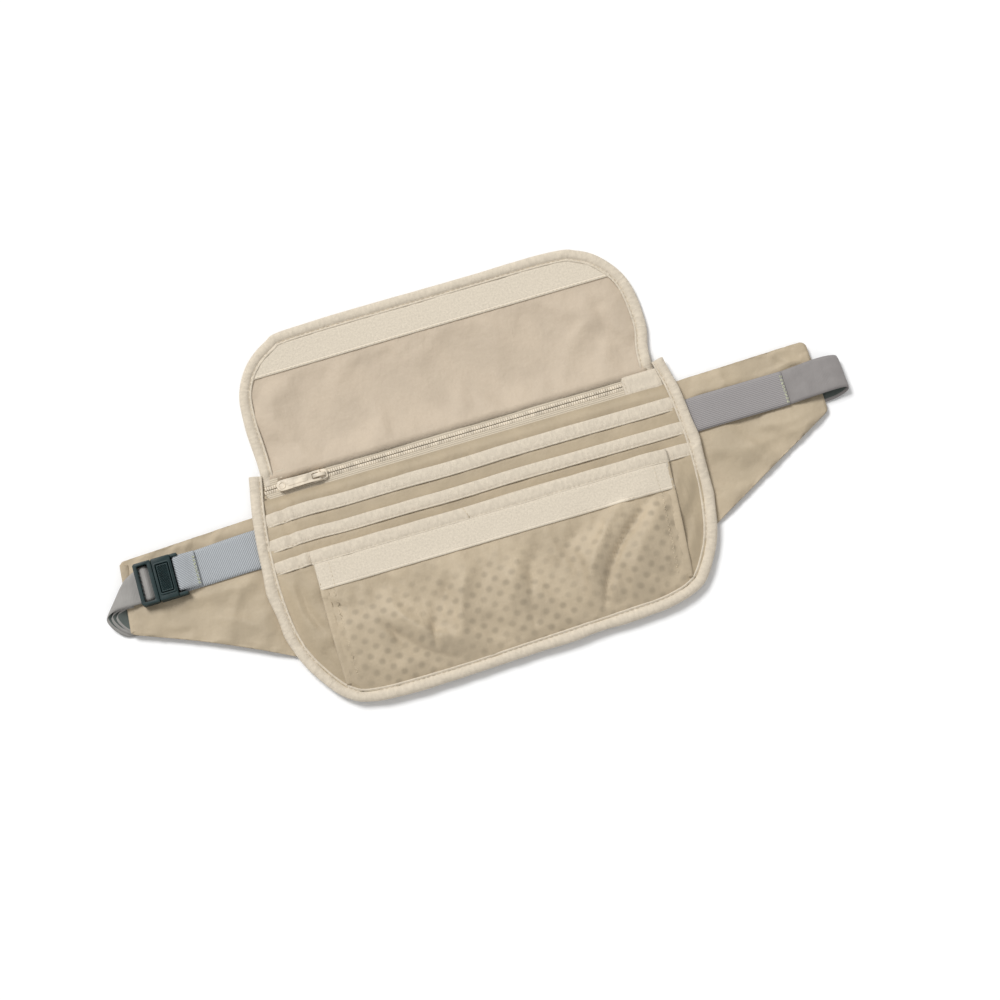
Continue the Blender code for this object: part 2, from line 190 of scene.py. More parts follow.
def new_mesh(name, verts, faces, mat, uv=None):
    """An object from vertices in the drawing's millimetres, with UVs in millimetres of cloth."""
    mesh = bpy.data.meshes.new(name)
    verts = (np.asarray(verts, float).reshape(-1, 3) + ORIGIN) * MM
    mesh.from_pydata(verts.tolist(), [], [tuple(int(i) for i in f) for f in faces])
    if uv is not None:
        layer = mesh.uv_layers.new(name="cloth")
        index = np.zeros(len(mesh.loops), int)
        mesh.loops.foreach_get("vertex_index", index)
        layer.data.foreach_set("uv", np.asarray(uv, float).reshape(-1, 2)[index].ravel())
    mesh.materials.append(mat)
    mesh.shade_smooth()
    return linked(bpy.data.objects.new(name, mesh))


def grid_faces(rows, columns, wrap=False):
    """The quads of a grid of points, joined up side to side if it wraps."""
    r, c = np.meshgrid(np.arange(rows - 1), np.arange(columns if wrap else columns - 1), indexing="ij")
    after = (c + 1) % columns
    corners = (r * columns + c, (r + 1) * columns + c, (r + 1) * columns + after, r * columns + after)
    return np.stack(corners, -1).reshape(-1, 4)


def tube_faces(rows, columns, start=0):
    """The faces of a tube of rings, with one over each of its two ends."""
    first = [start + k for k in range(columns)]
    last = [k + (rows - 1) * columns for k in first]
    return [*(grid_faces(rows, columns, wrap=True) + start).tolist(), first, last[::-1]]


def linked(obj):
    """The object, put in the scene."""
    bpy.context.scene.collection.objects.link(obj)
    return obj


def applied(obj):
    """The object with its modifiers made part of its mesh."""
    graph = bpy.context.evaluated_depsgraph_get()
    mesh = bpy.data.meshes.new_from_object(obj.evaluated_get(graph), depsgraph=graph)
    obj.modifiers.clear()
    old = obj.data
    obj.data = mesh
    bpy.data.meshes.remove(old)
    return obj


def cloth_sheet(name, grid, mat, uv=None, thickness=SHEET_T):
    """A sheet of cloth from a rows by columns by 3 array of points."""
    rows, columns = grid.shape[:2]
    obj = new_mesh(name, grid, grid_faces(rows, columns), mat, grid[..., :2] if uv is None else uv)
    solid = obj.modifiers.new("Solidify", "SOLIDIFY")
    solid.thickness = thickness * MM
    solid.offset = 0
    return applied(obj)


def crumple(grid, pinned, seed, grow=0.011, bend=7.0, cap=1.3, frames=22):
    """Lets a sheet a little too large for its sewn edges buckle into soft folds, by cloth simulation."""
    verts = grid.reshape(-1, 3) * MM * SIM_SCALE
    verts[:, 2] += np.random.RandomState(seed).uniform(-0.1, 0.1, len(verts)) * MM * SIM_SCALE
    mesh = bpy.data.meshes.new("crumple")
    mesh.from_pydata(verts.tolist(), [], grid_faces(*grid.shape[:2]).tolist())
    obj = linked(bpy.data.objects.new("crumple", mesh))
    group = obj.vertex_groups.new(name="pinned")
    group.add([int(i) for i in np.flatnonzero(pinned.ravel())], 1.0, "REPLACE")
    cloth = obj.modifiers.new("Cloth", "CLOTH")
    rules = {
        "quality": 5, "mass": 0.3, "bending_stiffness": bend, "tension_stiffness": 30,
        "compression_stiffness": 30, "shear_stiffness": 8, "tension_damping": 10, "compression_damping": 10,
        "shear_damping": 10, "bending_damping": 1, "air_damping": 2, "vertex_group_mass": "pinned",
        "shrink_min": -grow, "shrink_max": -grow,
    }
    for rule, value in rules.items():
        setattr(cloth.settings, rule, value)
    cloth.settings.effector_weights.gravity = 0
    cloth.point_cache.frame_end = frames
    for step in range(1, frames + 1):
        bpy.context.scene.frame_set(step)
    settled = obj.evaluated_get(bpy.context.evaluated_depsgraph_get()).data
    out = np.zeros(len(verts) * 3)
    settled.vertices.foreach_get("co", out)
    bpy.data.objects.remove(obj, do_unlink=True)
    bpy.context.scene.frame_set(1)
    moved = out.reshape(grid.shape) / (MM * SIM_SCALE) - grid
    return grid + cap * np.tanh(moved / cap)


def border(grid, left=2):
    """The points of a grid that its seams hold: two rows or columns at each side, or more at the left."""
    held = np.ones(grid.shape[:2], bool)
    held[2:-2, left:-2] = False
    return held


def frame_along(line):
    """Along, side and up directions at each point of a line that lies roughly flat."""
    along = np.gradient(line, axis=0)
    along /= np.linalg.norm(along, axis=1)[:, None]
    side = np.stack([-along[:, 1], along[:, 0], np.zeros(len(line))], 1)
    side /= np.linalg.norm(side, axis=1)[:, None]
    return along, side, np.cross(along, side)


def inside(outline, distance):
    """A plan outline moved inwards."""
    return outline + distance * frame_along(np.c_[outline, 0 * outline[:, :1]])[1][:, :2]


def tape(name, line, section, mat, ripple):
    """A closed band along a line: section holds (inwards, up) points all round it.

    ripple(run, inwards) gives extra (inwards, up) shifts, for puckers and a wavy outline."""
    _, side, up = frame_along(line)
    section = np.asarray(section, float)
    s = run_along(line)[:, None] + 0 * section[None, :, 0]
    inwards = section[None, :, 0] + 0 * s
    height = section[None, :, 1] + 0 * s
    shift, lift = ripple(s, inwards)
    uv = np.stack([s, inwards], -1)
    inwards, height = inwards + shift, height + lift * np.sign(height)
    grid = line[:, None] + inwards[..., None] * side[:, None] + height[..., None] * up[:, None]
    return outward(new_mesh(name, grid, tube_faces(len(line), len(section)), mat, uv))


def on_tape(line, inwards, height, ripple):
    """The line on a tape's face that its puckers carry: so far inwards and so high above its middle."""
    _, side, up = frame_along(line)
    run = run_along(line)
    shift, lift = ripple(run, inwards + 0 * run)
    return line + (inwards + shift)[:, None] * side + (height + lift)[:, None] * up


def webbing(name, upper, lower, mat, thickness=1.1, wave=0.0, inner=None):
    """A woven band between two edge lines with rounded selvedges, closed all round, and its length.

    inner is (material, 0 or 1) for a band whose top or whose underside takes another material, which here is
    a near-black painted shade for the inside of a curl."""
    columns = 13
    edges = [np.asarray(edge, float) for edge in (upper, lower)]
    count = max(8, round(max(run_along(edge)[-1] for edge in edges) / 0.8))
    edges = [smooth_line(edge, count=max(4, round(count / (len(edge) - 1)))) for edge in edges]
    across = np.linspace(0, 1, columns)[None, :, None]
    mid = edges[0][:, None] * (1 - across) + edges[1][:, None] * across
    across = across[0, :, 0]
    middle = (edges[0] + edges[1]) / 2
    up = np.cross(edges[1] - edges[0], np.gradient(middle, axis=0))
    up /= np.linalg.norm(up, axis=1)[:, None]
    run = run_along(middle)
    half = thickness / 2 * np.sqrt(np.clip(1 - np.abs(2 * across - 1) ** 8, 0.06, 1))
    if wave:
        waves = wave * noise(run[:, None] + 0 * across, across * 8, 14, 5)
        mid = mid + up[:, None] * waves[..., None]
    raised = up[:, None] * half[None, :, None]
    ring = np.concatenate([mid + raised, (mid - raised)[:, ::-1]], 1)
    v = np.concatenate([across, across[::-1]]) * STRAP_W
    uv = np.stack(np.broadcast_arrays(run[:, None], v[None, :]), -1)
    rows, total = ring.shape[:2]
    obj = new_mesh(name, ring, tube_faces(rows, total), mat, uv)
    if inner:
        obj.data.materials.append(inner[0])
        for face in obj.data.polygons:
            face.material_index = int(0 < face.index % total - inner[1] * columns < columns - 2)
    return outward(obj), run[-1]


def outward(obj):
    """The object with its faces pointing out."""
    shape = bmesh.new()
    shape.from_mesh(obj.data)
    volume = shape.calc_volume(signed=True)
    shape.free()
    if volume < 0:
        obj.data.flip_normals()
    return obj


STITCH_PROFILE = ((0.0, 0.15), (0.08, 0.7), (0.3, 1.0), (0.7, 1.0), (0.92, 0.7), (1.0, 0.15))


def stitches(name, line, pitch=3.0, length=2.2, thick=0.32, sink=0.0, mat="thread"):
    """A row of sewn stitches lying on a line."""
    line = evenly(line, 0.4)
    run = run_along(line)
    sides = 6
    verts, faces = [], []
    for begin in np.arange(0.3, run[-1] - length, pitch):
        marks = (begin, begin + length)
        start, end = np.stack([np.interp(marks, run, line[:, k]) for k in range(3)], 1)
        along = end - start
        along /= np.linalg.norm(along)
        side = np.cross((0, 0, 1.0), along)
        side /= np.linalg.norm(side)
        up = np.cross(along, side)
        faces += tube_faces(len(STITCH_PROFILE), sides, len(verts))
        for t, radius in STITCH_PROFILE:
            centre = start + (end - start) * t - up * (sink + 0.25 * thick * (2 * t - 1) ** 2)
            for a in np.arange(sides) * 2 * math.pi / sides:
                verts.append(centre + thick / 2 * radius * (math.cos(a) * side + math.sin(a) * up))
    return outward(new_mesh(name, verts, faces, M[mat]))


def sew(name, line, body="pouch", **sizes):
    """A row of stitches that rides on a body."""
    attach(stitches(name, line, **sizes), body)


# ---------------------------------------------------------------- materials


class Nodes:
    """A short way to write one Principled material's node graph."""

    def __init__(self, name, roughness, sheen=0.0, specular=0.3):
        self.mat = bpy.data.materials.new(name)
        self.mat.use_nodes = True
        self.tree = self.mat.node_tree
        self.shader = self.tree.nodes["Principled BSDF"]
        self.fill(self.shader, {"Roughness": roughness, "Specular IOR Level": specular})
        self.fill(self.shader, {"Sheen Weight": sheen, "Sheen Roughness": 0.5})
        self.uv = self.add("ShaderNodeTexCoord").outputs["UV"]
        self.place = self.add("ShaderNodeTexCoord").outputs["Object"]
        self.bump_out = None

    def fill(self, node, sockets):
        """Gives each of a node's sockets its value, or its link."""
        for key, value in sockets.items():
            socket = node.inputs[key]
            if isinstance(value, bpy.types.NodeSocket):
                self.tree.links.new(value, socket)
            else:
                socket.default_value = (*value, 1.0) if socket.type == "RGBA" else value

    def add(self, kind, sockets=None, **settings):
        node = self.tree.nodes.new(kind)
        for key, value in settings.items():
            setattr(node, key, value)
        self.fill(node, sockets or {})
        return node

    def mapped(self, source, scale=(1, 1, 1), turn=0.0):
        sockets = {"Vector": source, "Scale": scale, "Rotation": (0, 0, math.radians(turn))}
        return self.add("ShaderNodeMapping", sockets).outputs["Vector"]

    def noise(self, source, scale, detail=3.0, rough=0.55):
        sockets = {"Vector": source, "Scale": scale, "Detail": detail, "Roughness": rough}
        return self.add("ShaderNodeTexNoise", sockets).outputs["Fac"]

    def wave(self, source, pitch, distort=0.0, axis="X"):
        """Bands that repeat every pitch."""
        sockets = {"Vector": source, "Scale": 2 * math.pi / (20 * pitch), "Distortion": distort}
        bands = {"wave_type": "BANDS", "bands_direction": axis, "wave_profile": "SIN"}
        return self.add("ShaderNodeTexWave", sockets, **bands).outputs["Fac"]

    def lattice(self, source):
        """The distance to the nearest point of a square lattice."""
        sockets = {"Vector": source, "Scale": 1.0, "Randomness": 0.0}
        kind = {"feature": "F1", "distance": "EUCLIDEAN", "voronoi_dimensions": "2D"}
        return self.add("ShaderNodeTexVoronoi", sockets, **kind).outputs["Distance"]

    def split(self, source):
        return self.add("ShaderNodeSeparateXYZ", {0: source}).outputs

    def math(self, kind, a, b):
        return self.add("ShaderNodeMath", {0: a, 1: b}, operation=kind).outputs[0]

    def times(self, a, b):
        return self.math("MULTIPLY", a, b)

    def spread(self, source, low, high):
        """From 0 to 1 as the source goes from low to high."""
        sockets = {"Value": source, "From Min": low, "From Max": high}
        node = self.add("ShaderNodeMapRange", sockets, clamp=True, interpolation_type="SMOOTHSTEP")
        return node.outputs["Result"]

    def mix(self, factor, a, b):
        return self.add("ShaderNodeMix", {0: factor, 6: a, 7: b}, data_type="RGBA").outputs[2]

    def shades(self, source, low, high, colour, dark, light):
        """Darker to lighter shades of a colour as the source goes from low to high."""
        return self.mix(self.spread(source, low, high), shade(colour, dark), shade(colour, light))

    def mix_in(self, tint, source, amount, colour):
        """The tint with so much of another colour where the source is strong."""
        return self.mix(self.times(source, amount), tint, colour)

    def colour(self, source):
        self.fill(self.shader, {"Base Color": source})

    def roughness(self, source, low, high):
        scale = self.add("ShaderNodeMapRange", {"Value": source, "To Min": low, "To Max": high})
        self.fill(self.shader, {"Roughness": scale.outputs["Result"]})

    def bump(self, height, distance, strength=1.0):
        sockets = {"Strength": strength, "Distance": distance * MM, "Height": height}
        if self.bump_out is not None:
            sockets["Normal"] = self.bump_out
        self.bump_out = self.add("ShaderNodeBump", sockets).outputs["Normal"]
        self.fill(self.shader, {"Normal": self.bump_out})


def shade(colour, factor):
    """A colour made lighter or darker."""
    return tuple(c * factor for c in colour)


def plain_weave(nodes, pitch=0.5, depth=0.05):
    """Warp and weft of a thin cloth, in UV millimetres."""
    crossing = nodes.times(nodes.wave(nodes.uv, pitch, 0.6, "X"), nodes.wave(nodes.uv, pitch, 0.6, "Y"))
    nodes.bump(crossing, depth)
    return crossing


def cloth_material(name, colour, mottle=0.10, dots=False):
    """Thin woven cloth, a little mottled and creased, with a faint painted highlight on its thread crossings
    and printed dots if it has them.
    """
    nodes = Nodes(name, 0.6, 0.15, 0.42)
    broad = nodes.noise(nodes.uv, 0.045)
    fine = nodes.noise(nodes.uv, 0.7, 5.0)
    tint = nodes.shades(broad, 0.3, 0.7, colour, 1 - mottle, 1 + mottle * 0.6)
    tint = nodes.mix_in(tint, fine, 0.35, shade(colour, 0.86))
    # Painted highlight: a little lighter where the weave's threads cross and its bump is high.
    tint = nodes.mix_in(tint, plain_weave(nodes), 0.12, shade(colour, 1.2))
    if dots:
        tint = nodes.mix_in(tint, dot_mask(nodes), 0.8, shade(colour, 0.66))
    nodes.colour(tint)
    nodes.roughness(fine, 0.48, 0.66)
    nodes.bump(nodes.noise(nodes.uv, 0.16, 4.0), 0.7, 0.7)
    nodes.bump(nodes.noise(nodes.mapped(nodes.uv, (0.5, 0.22, 1), 35), 1.0), 0.3, 0.6)
    return nodes.mat


def dot_mask(nodes, cell=(6.8, 5.98)):
    """Rows of soft dots, staggered, that fade in and out across the panel."""
    drift = nodes.add("ShaderNodeTexNoise", {"Vector": nodes.uv, "Scale": 0.06}).outputs["Color"]
    lean = nodes.add("ShaderNodeVectorMath", {0: drift, "Scale": 1.0}, operation="SCALE").outputs[0]
    wobble = nodes.add("ShaderNodeVectorMath", {0: nodes.uv, 1: lean}, operation="ADD").outputs[0]
    turned = nodes.mapped(wobble, (1, 1, 1), -3.65)
    distance = nodes.lattice(nodes.mapped(turned, (1 / cell[0], 1 / cell[1], 1), 45))
    dots = nodes.math("SUBTRACT", 1.0, nodes.spread(distance, 0.1, 0.42))
    patch = nodes.spread(nodes.noise(nodes.uv, 0.035, 2.0), 0.40, 0.60)
    x, y, _ = nodes.split(nodes.uv)
    lower = nodes.spread(y, -73.0, -92.0)
    right = nodes.times(nodes.spread(x, 58.0, 84.0), nodes.spread(y, -73.0, -80.0))
    where = nodes.math("MAXIMUM", nodes.times(lower, 0.95), right)
    patchy = nodes.math("ADD", nodes.times(patch, 0.5), 0.5)
    return nodes.times(dots, nodes.times(where, patchy))


def binding_material(name, colour):
    """Bias tape: a slanting weave with the creases of a folded edge, painted darker in the crease hollows and
    lighter on their ridges as shade and highlight.
    """
    nodes = Nodes(name, 0.6, 0.2, 0.35)
    crease = nodes.noise(nodes.mapped(nodes.uv, (0.5, 0.24, 1), 48), 1.0, 5.0, 0.66)
    fine = nodes.noise(nodes.uv, 1.1)
    # Painted shade and highlight: darker where the crease bump is low, a little lighter where it is high.
    tint = nodes.shades(crease, 0.35, 0.7, colour, 0.9, 1.05)
    nodes.colour(nodes.mix_in(tint, fine, 0.3, shade(colour, 0.84)))
    nodes.bump(nodes.wave(nodes.mapped(nodes.uv, turn=45), 0.45, 0.5), 0.04)
    nodes.bump(crease, 0.85, 0.8)
    nodes.roughness(fine, 0.5, 0.7)
    return nodes.mat


def pile_material(name, colour, selvedge):
    """Hook or loop tape: fine pile painted darker in its hollows as shade, with a smooth lighter selvedge at
    the low end of V.
    """
    nodes = Nodes(name, 0.9, 0.35, 0.15)
    fuzz = nodes.noise(nodes.uv, 0.9, 6.0, 0.75)
    # Painted shade: the pile is darker where its bump is low.
    tint = nodes.shades(fuzz, 0.3, 0.7, colour, 0.82, 1.05)
    tint = nodes.mix_in(tint, nodes.noise(nodes.uv, 0.12), 0.25, shade(colour, 0.9))
    edge = nodes.math("LESS_THAN", nodes.split(nodes.uv)[1], selvedge)
    nodes.colour(nodes.mix(edge, tint, shade(colour, 1.14)))
    nodes.bump(nodes.times(fuzz, nodes.math("SUBTRACT", 1.0, edge)), 0.5, 0.8)
    return nodes.mat


def twill_material(name, colour):
    """Webbing with slanting ribs, painted darker in their grooves and lighter on their crests as shade and
    highlight.
    """
    nodes = Nodes(name, 0.75, 0.1, 0.25)
    rib = nodes.wave(nodes.mapped(nodes.uv, turn=42), 1.05, 0.4)
    yarn = nodes.wave(nodes.mapped(nodes.uv, turn=-48), 0.6, 0.8)
    # Painted shade and highlight: darker in the rib grooves, lighter on the rib crests.
    tint = nodes.shades(rib, 0.1, 0.8, colour, 0.74, 1.12)
    nodes.colour(nodes.mix_in(tint, nodes.noise(nodes.uv, 0.5), 0.3, shade(colour, 0.9)))
    nodes.bump(yarn, 0.06)
    nodes.bump(rib, 0.22)
    return nodes.mat


def ribbed_material(name, colour, pitch, low):
    """Elastic or zip tape, with ribs along it that are painted darker in their grooves and a little lighter
    on their crests, as shade and highlight.
    """
    nodes = Nodes(name, 0.78, 0.12, 0.25)
    rib = nodes.wave(nodes.uv, pitch, 0.15, "Y")
    cross = nodes.wave(nodes.uv, 0.7, 0.4, "X")
    # Painted shade and highlight: the rib grooves darken to low times the colour, and the crests lighten a
    # little.
    tint = nodes.shades(rib, 0.05, 0.7, colour, low, 1.06)
    nodes.colour(nodes.mix_in(tint, cross, 0.25, shade(colour, 0.82)))
    nodes.bump(cross, 0.08)
    nodes.bump(rib, 0.16)
    return nodes.mat


def strap_material(name, colour):
    """Smooth, tightly woven strap."""
    nodes = Nodes(name, 0.62, 0.12, 0.35)
    fine = nodes.wave(nodes.uv, 0.55, 0.3, "Y")
    cross = nodes.wave(nodes.uv, 0.8, 0.5, "X")
    tint = nodes.shades(nodes.noise(nodes.uv, 0.12), 0.3, 0.7, colour, 0.93, 1.07)
    nodes.colour(nodes.mix_in(tint, fine, 0.18, shade(colour, 0.8)))
    nodes.bump(nodes.times(fine, cross), 0.1)
    return nodes.mat


def plastic_material(name, colour, roughness, grain):
    """Moulded plastic, or thread, with a fine grain."""
    nodes = Nodes(name, roughness, 0.0, 0.35)
    speck = nodes.noise(nodes.place, 2200)
    broad = nodes.noise(nodes.place, 220)
    nodes.colour(nodes.shades(broad, 0.3, 0.7, colour, 0.85, 1.25))
    nodes.roughness(broad, roughness - 0.06, roughness + 0.12)
    nodes.bump(speck, grain, 0.6)
    return nodes.mat


def mesh_material(name, colour, pitch=2.1):
    """Open spacer mesh: round holes in staggered rows, their insides painted about half as dark as shade."""
    nodes = Nodes(name, 0.85, 0.2, 0.2)
    depth = nodes.spread(nodes.lattice(nodes.mapped(nodes.uv, (1 / pitch, 1 / pitch, 1), 45)), 0.22, 0.42)
    yarn = nodes.noise(nodes.uv, 2.2, 4.0)
    # Painted shade: the holes are half as dark as the yarn round them.
    tint = nodes.mix(depth, shade(colour, 0.5), shade(colour, 1.02))
    nodes.colour(nodes.mix_in(tint, yarn, 0.35, shade(colour, 0.85)))
    nodes.bump(depth, 0.6, 0.8)
    nodes.bump(yarn, 0.15)
    return nodes.mat


BEIGE = (0.50, 0.41, 0.29)
FRONT_BEIGE = (0.492, 0.402, 0.279)
DEEP_BEIGE = (0.442, 0.358, 0.242)
WING_BEIGE = (0.462, 0.378, 0.262)
LINING = (0.54, 0.445, 0.335)
CREAM = (0.675, 0.592, 0.472)
PILE = (0.715, 0.635, 0.515)
ZIP_CREAM = (0.64, 0.56, 0.445)

M = {
    "front": cloth_material("front_cloth", FRONT_BEIGE, dots=True),
    "pocket": cloth_material("pocket_cloth", DEEP_BEIGE),
    "shell": cloth_material("flap_cloth", BEIGE),
    "lining": cloth_material("lining_cloth", LINING, mottle=0.07),
    "wing": cloth_material("wing_cloth", WING_BEIGE),
    "mesh": mesh_material("spacer_mesh", BEIGE),
    "binding": binding_material("bias_tape", CREAM),
    "hook": pile_material("hook_tape", PILE, HOOK_BAND[1] + 1.5),
    "loop": pile_material("loop_tape", PILE, LOOP_BAND[1] + 1.6),
    "zip_tape": ribbed_material("zip_tape_weave", (0.62, 0.54, 0.42), 1.1, 0.88),
    "zip": plastic_material("zip_plastic", ZIP_CREAM, 0.4, 0.03),
    "thread": plastic_material("sewing_thread", (0.52, 0.44, 0.32), 0.7, 0.02),
    "green_thread": plastic_material("webbing_thread", (0.50, 0.52, 0.36), 0.7, 0.02),
    "webbing": twill_material("twill_webbing", (0.42, 0.442, 0.462)),
    "elastic": ribbed_material("ribbed_elastic", (0.332, 0.313, 0.31), 1.0, 0.8),
    "strap": strap_material("waist_strap_weave", (0.325, 0.312, 0.294)),
    "strap_end": strap_material("waist_strap_end_weave", (0.262, 0.244, 0.236)),
    # A near-black painted shade for the faces inside the waist strap's curls and folds.
    "strap_curl_shade": strap_material("waist_strap_curl_painted_shade", (0.105, 0.125, 0.115)),
    "buckle": plastic_material("buckle_plastic", (0.008, 0.023, 0.024), 0.42, 0.06),
}


def show(obj, body, replaced=(), blend=None):
    """Puts a piece on a body, or leaves it in place without a parent when it runs between two bodies, and
    says what it stands for.
    """
    if replaced:
        obj.name = replaced[0] + "_look"
    if blend:
        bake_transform(obj)
    else:
        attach(obj, body)
    if replaced:
        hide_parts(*replaced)
    return obj


STRIP_SEAM = {"thick": 0.22, "length": 1.6, "pitch": 2.4}
BINDING_SEAM = {"thick": 0.28, "length": 2.0, "pitch": 2.9}


def laid(x, y, height, lift=0.0):
    """Points so far above a surface; X or Y may be one number."""
    x, y = np.broadcast_arrays(np.asarray(x, float), np.asarray(y, float))
    return np.stack([x, y, height(x, y) + lift], -1)


# ---------------------------------------------------------------- pouch


def edges_at(y, line):
    """The outline's left and right X at height Y, for an outline that is open at the top."""
    bottom = int(np.argmin(line[:, 1]))
    left, right = line[: bottom + 1], line[bottom:]
    return (np.interp(-y, -left[:, 1], left[:, 0]), np.interp(y, right[:, 1], right[:, 0]))


INNER_EDGE = inside(POUCH_EDGE, BINDING_W * 0.55)


def puff(x, y):
    """How far the pouch opens at plan points: 0 at its sewn edge, 1 in the middle."""
    return smoothstep(2.0, PUFF_REACH, distance_to(POUCH_EDGE, x, y)) ** 0.8


def seam_rise(x, y):
    """How far the stacked tape ends and the webbing lift the sewn edge on both sides of the pouch."""
    return 1.5 * smoothstep(-7, -22, y) * smoothstep(-86, -62, y) * smoothstep(70, 105, np.abs(x))


def layer_height(key, x, y):
    """The height of a pouch sheet: sewn together at the binding, apart in the middle."""
    p = puff(x, y)
    low = SEAM_Z + seam_rise(x, y) + SEAM_STEP[key]
    soft = 0.25 * noise(x, y, 34, 11) + 0.12 * noise(x, y, 13, 12)
    return low + (LAYER_Z[key] - low) * p + soft * p


def panel_grid(top, step, left, right):
    """Plan points of a pouch sheet, rows from top to bottom, that follow the outline's sides."""
    bottom = INNER_EDGE[:, 1].min() + 0.4
    t = np.linspace(0, 1, round((top - bottom) / step) + 1)
    ys = top + (bottom - top) * np.sin(t * math.pi / 2) ** 0.92
    columns = round(230 / step) + 1
    xs = []
    for y in ys:
        low, high = edges_at(y, INNER_EDGE)
        xs.append(np.linspace(max(low, left(y)), min(high, right(y)), columns))
    return np.array(xs), np.repeat(ys[:, None], columns, 1)


def under_lip(x, y):
    """The height that a panel stays below, so that the edge binding's lip shows all round."""
    inside = distance_to(POUCH_EDGE, x, y) - BINDING_W
    return SEAM_Z + seam_rise(x, y) + 0.42 + 0.5 * np.maximum(inside, 0)


def calm(x, y):
    """The relief of the back panel: almost none."""
    return 0.2 * noise(x, y, 22, 31)


def rippled(x, y):
    """The relief of the pocket panels that mostly lie covered."""
    return 0.3 * noise(x * 0.5, y, 7, 32) + 0.15 * noise(x, y, 5, 33)


PLEATS = (
    (-110.6, -16, -107.6, -64, 1.4, 0.9, 0.0), (-102.6, -16, -99.6, -64, 1.6, 1.1, 0.0),
    (-106.5, -16, -103.5, -64, 1.3, -0.8, 0.0),
)


def end_pleats(x, y):
    """The short upright pleats at the left ends of the pockets and of their bindings."""
    return folds(x, y, PLEATS)


def pouch_sheet(name, key, top, mat, relief, step, left=lambda y: -200.0, right=lambda y: 200.0, **loose):
    """A panel of the pouch. A loose one buckles where it is not pinned, and stays above the one below."""
    pinned, below = loose.pop("pinned", None), loose.pop("below", None)
    x, y = panel_grid(top, step, left, right)
    z = layer_height(key, x, y) + relief(x, y) * smoothstep(0.5, 6.0, top - y)
    if key != "back":
        z += end_pleats(x, y)
    grid = np.stack([x, y, z], -1)
    if pinned:
        grid = crumple(grid, border(grid) | pinned(x, y), **loose)
        grid[..., 2] = np.maximum(grid[..., 2], layer_height(below, x, y) + 0.38)
    if relief is not calm:
        grid[..., 2] = np.minimum(grid[..., 2], under_lip(x, y))
    SURFACES[name] = grid
    obj = show(cloth_sheet(name, grid, M[mat], np.stack([x, y], -1)), "pouch", (name,))


SURFACES = {}


def surface_z(name, x, y):
    """The height of a finished sheet at plan points, from its nearest grid points."""
    grid = SURFACES[name].reshape(-1, 3)
    out = []
    for px, py in zip(np.ravel(x), np.ravel(y)):
        far = np.hypot(grid[:, 0] - px, grid[:, 1] - py) + 1e-6
        near = np.argpartition(far, 4)[:4]
        out.append(np.average(grid[near, 2], weights=1 / far[near] ** 2))
    return np.reshape(out, np.shape(x))


CREASES = (
    (-107, -66, -98, -95, 2.0, -1.3), (-112, -64, -103, -92, 2.6, 1.1), (-112, -86, -102, -104, 2.0, 1.0),
    (-116, -74, -106, -98, 1.8, -0.9), (-103, -102, -97, -120, 2.0, -1.0), (-107, -104, -101, -122, 2.0, 0.8),
    (113, -80, 104, -104, 2.0, -1.2), (117, -66, 108, -94, 2.4, 1.0), (108, -64, 105, -90, 1.8, 0.7),
    (110, -92, 103, -112, 2.0, 0.7),
)

FRONT_FOLDS = (
    (80, -70, 44, -122, 4.2, 1.7), (88, -76, 50, -130, 1.9, -1.9), (84, -72, 62, -91, 2.0, -0.8),
    (97, -78, 66, -128, 5.0, 0.9), (-68, -101, -36, -127, 2.0, -1.9), (-62, -94, -30, -118, 4.0, 1.5),
    (-29, -88, -43, -122, 2.1, -1.6), (-16, -84, -26, -124, 4.0, 1.2), (-97, -75, -80, -83, 1.8, 0.8),
    (-96, -79, -84, -84, 1.6, -0.7), (14, -84, 0, -130, 4.6, 0.8), (24, -82, 12, -128, 2.8, -1.0),
    (-90, -92, -74, -130, 5.0, 0.8), (52, -78, 26, -108, 3.4, -0.7),
)


def side_creases(x, y):
    """The creases that the side strips show beside the narrower front pocket."""
    z = 2.2 * folds(x, y, CREASES) + 0.25 * noise(x + 0.5 * y, y, 7, 35)
    z = z + 0.8 * smoothstep(-60, -72, y) * smoothstep(-92, -97, x)
    return z * smoothstep(6, 10, distance_to(POUCH_EDGE, x, y))


def front_folds(x, y):
    """The long slanting folds of the front pocket."""
    z = folds(x, y, FRONT_FOLDS)
    z += 0.35 * noise(x + 0.6 * y, y - 0.3 * x, 16, 21) + 0.18 * noise(x, y, 6, 22)
    sides = np.minimum(x - FRONT_LEFT, front_right(y) - x)
    z = 2.5 * z * (0.35 + 0.65 * smoothstep(2, 9, sides)) + 0.8 * smoothstep(7, 0.5, sides)
    return z * smoothstep(0, 10, distance_to(POUCH_EDGE, x, y) - BINDING_W) * smoothstep(-69, -79, y)


def build_pouch():
    """The six panels from back to front; the two loose ones are cloth that was left to buckle."""
    pouch_sheet("back_panel", "back", -4.6, "mesh", calm, 3.0)
    pouch_sheet("main_front_panel", "main", -15.2, "pocket", rippled, 2.6)
    pouch_sheet("bill_pocket_panel", "bill", MOUTHS["bill"][1] + 3.2, "pocket", rippled, 2.4)
    pouch_sheet("card_pocket_panel", "card", MOUTHS["card"][1] + 3.2, "pocket", rippled, 2.4)
    pouch_sheet("slip_pocket_panel", "slip", MOUTHS["slip"][1] + 1.5, "pocket", side_creases, 1.8,
                pinned=lambda x, y: (x > -88) & (x < 92), below="card", seed=5, grow=0.012, cap=0.9)

    def held(x, y):
        return (y > HOOK_BAND[1] - 1) | (x < FRONT_LEFT + 5.5) | (x > front_right(y) - 5.5)

    pouch_sheet("front_pocket_panel", "front", FRONT_MOUTH[1] + 1.5, "front", front_folds, 1.6, front_left,
                front_right, pinned=held, below="slip", seed=7, grow=0.016, bend=4.0)


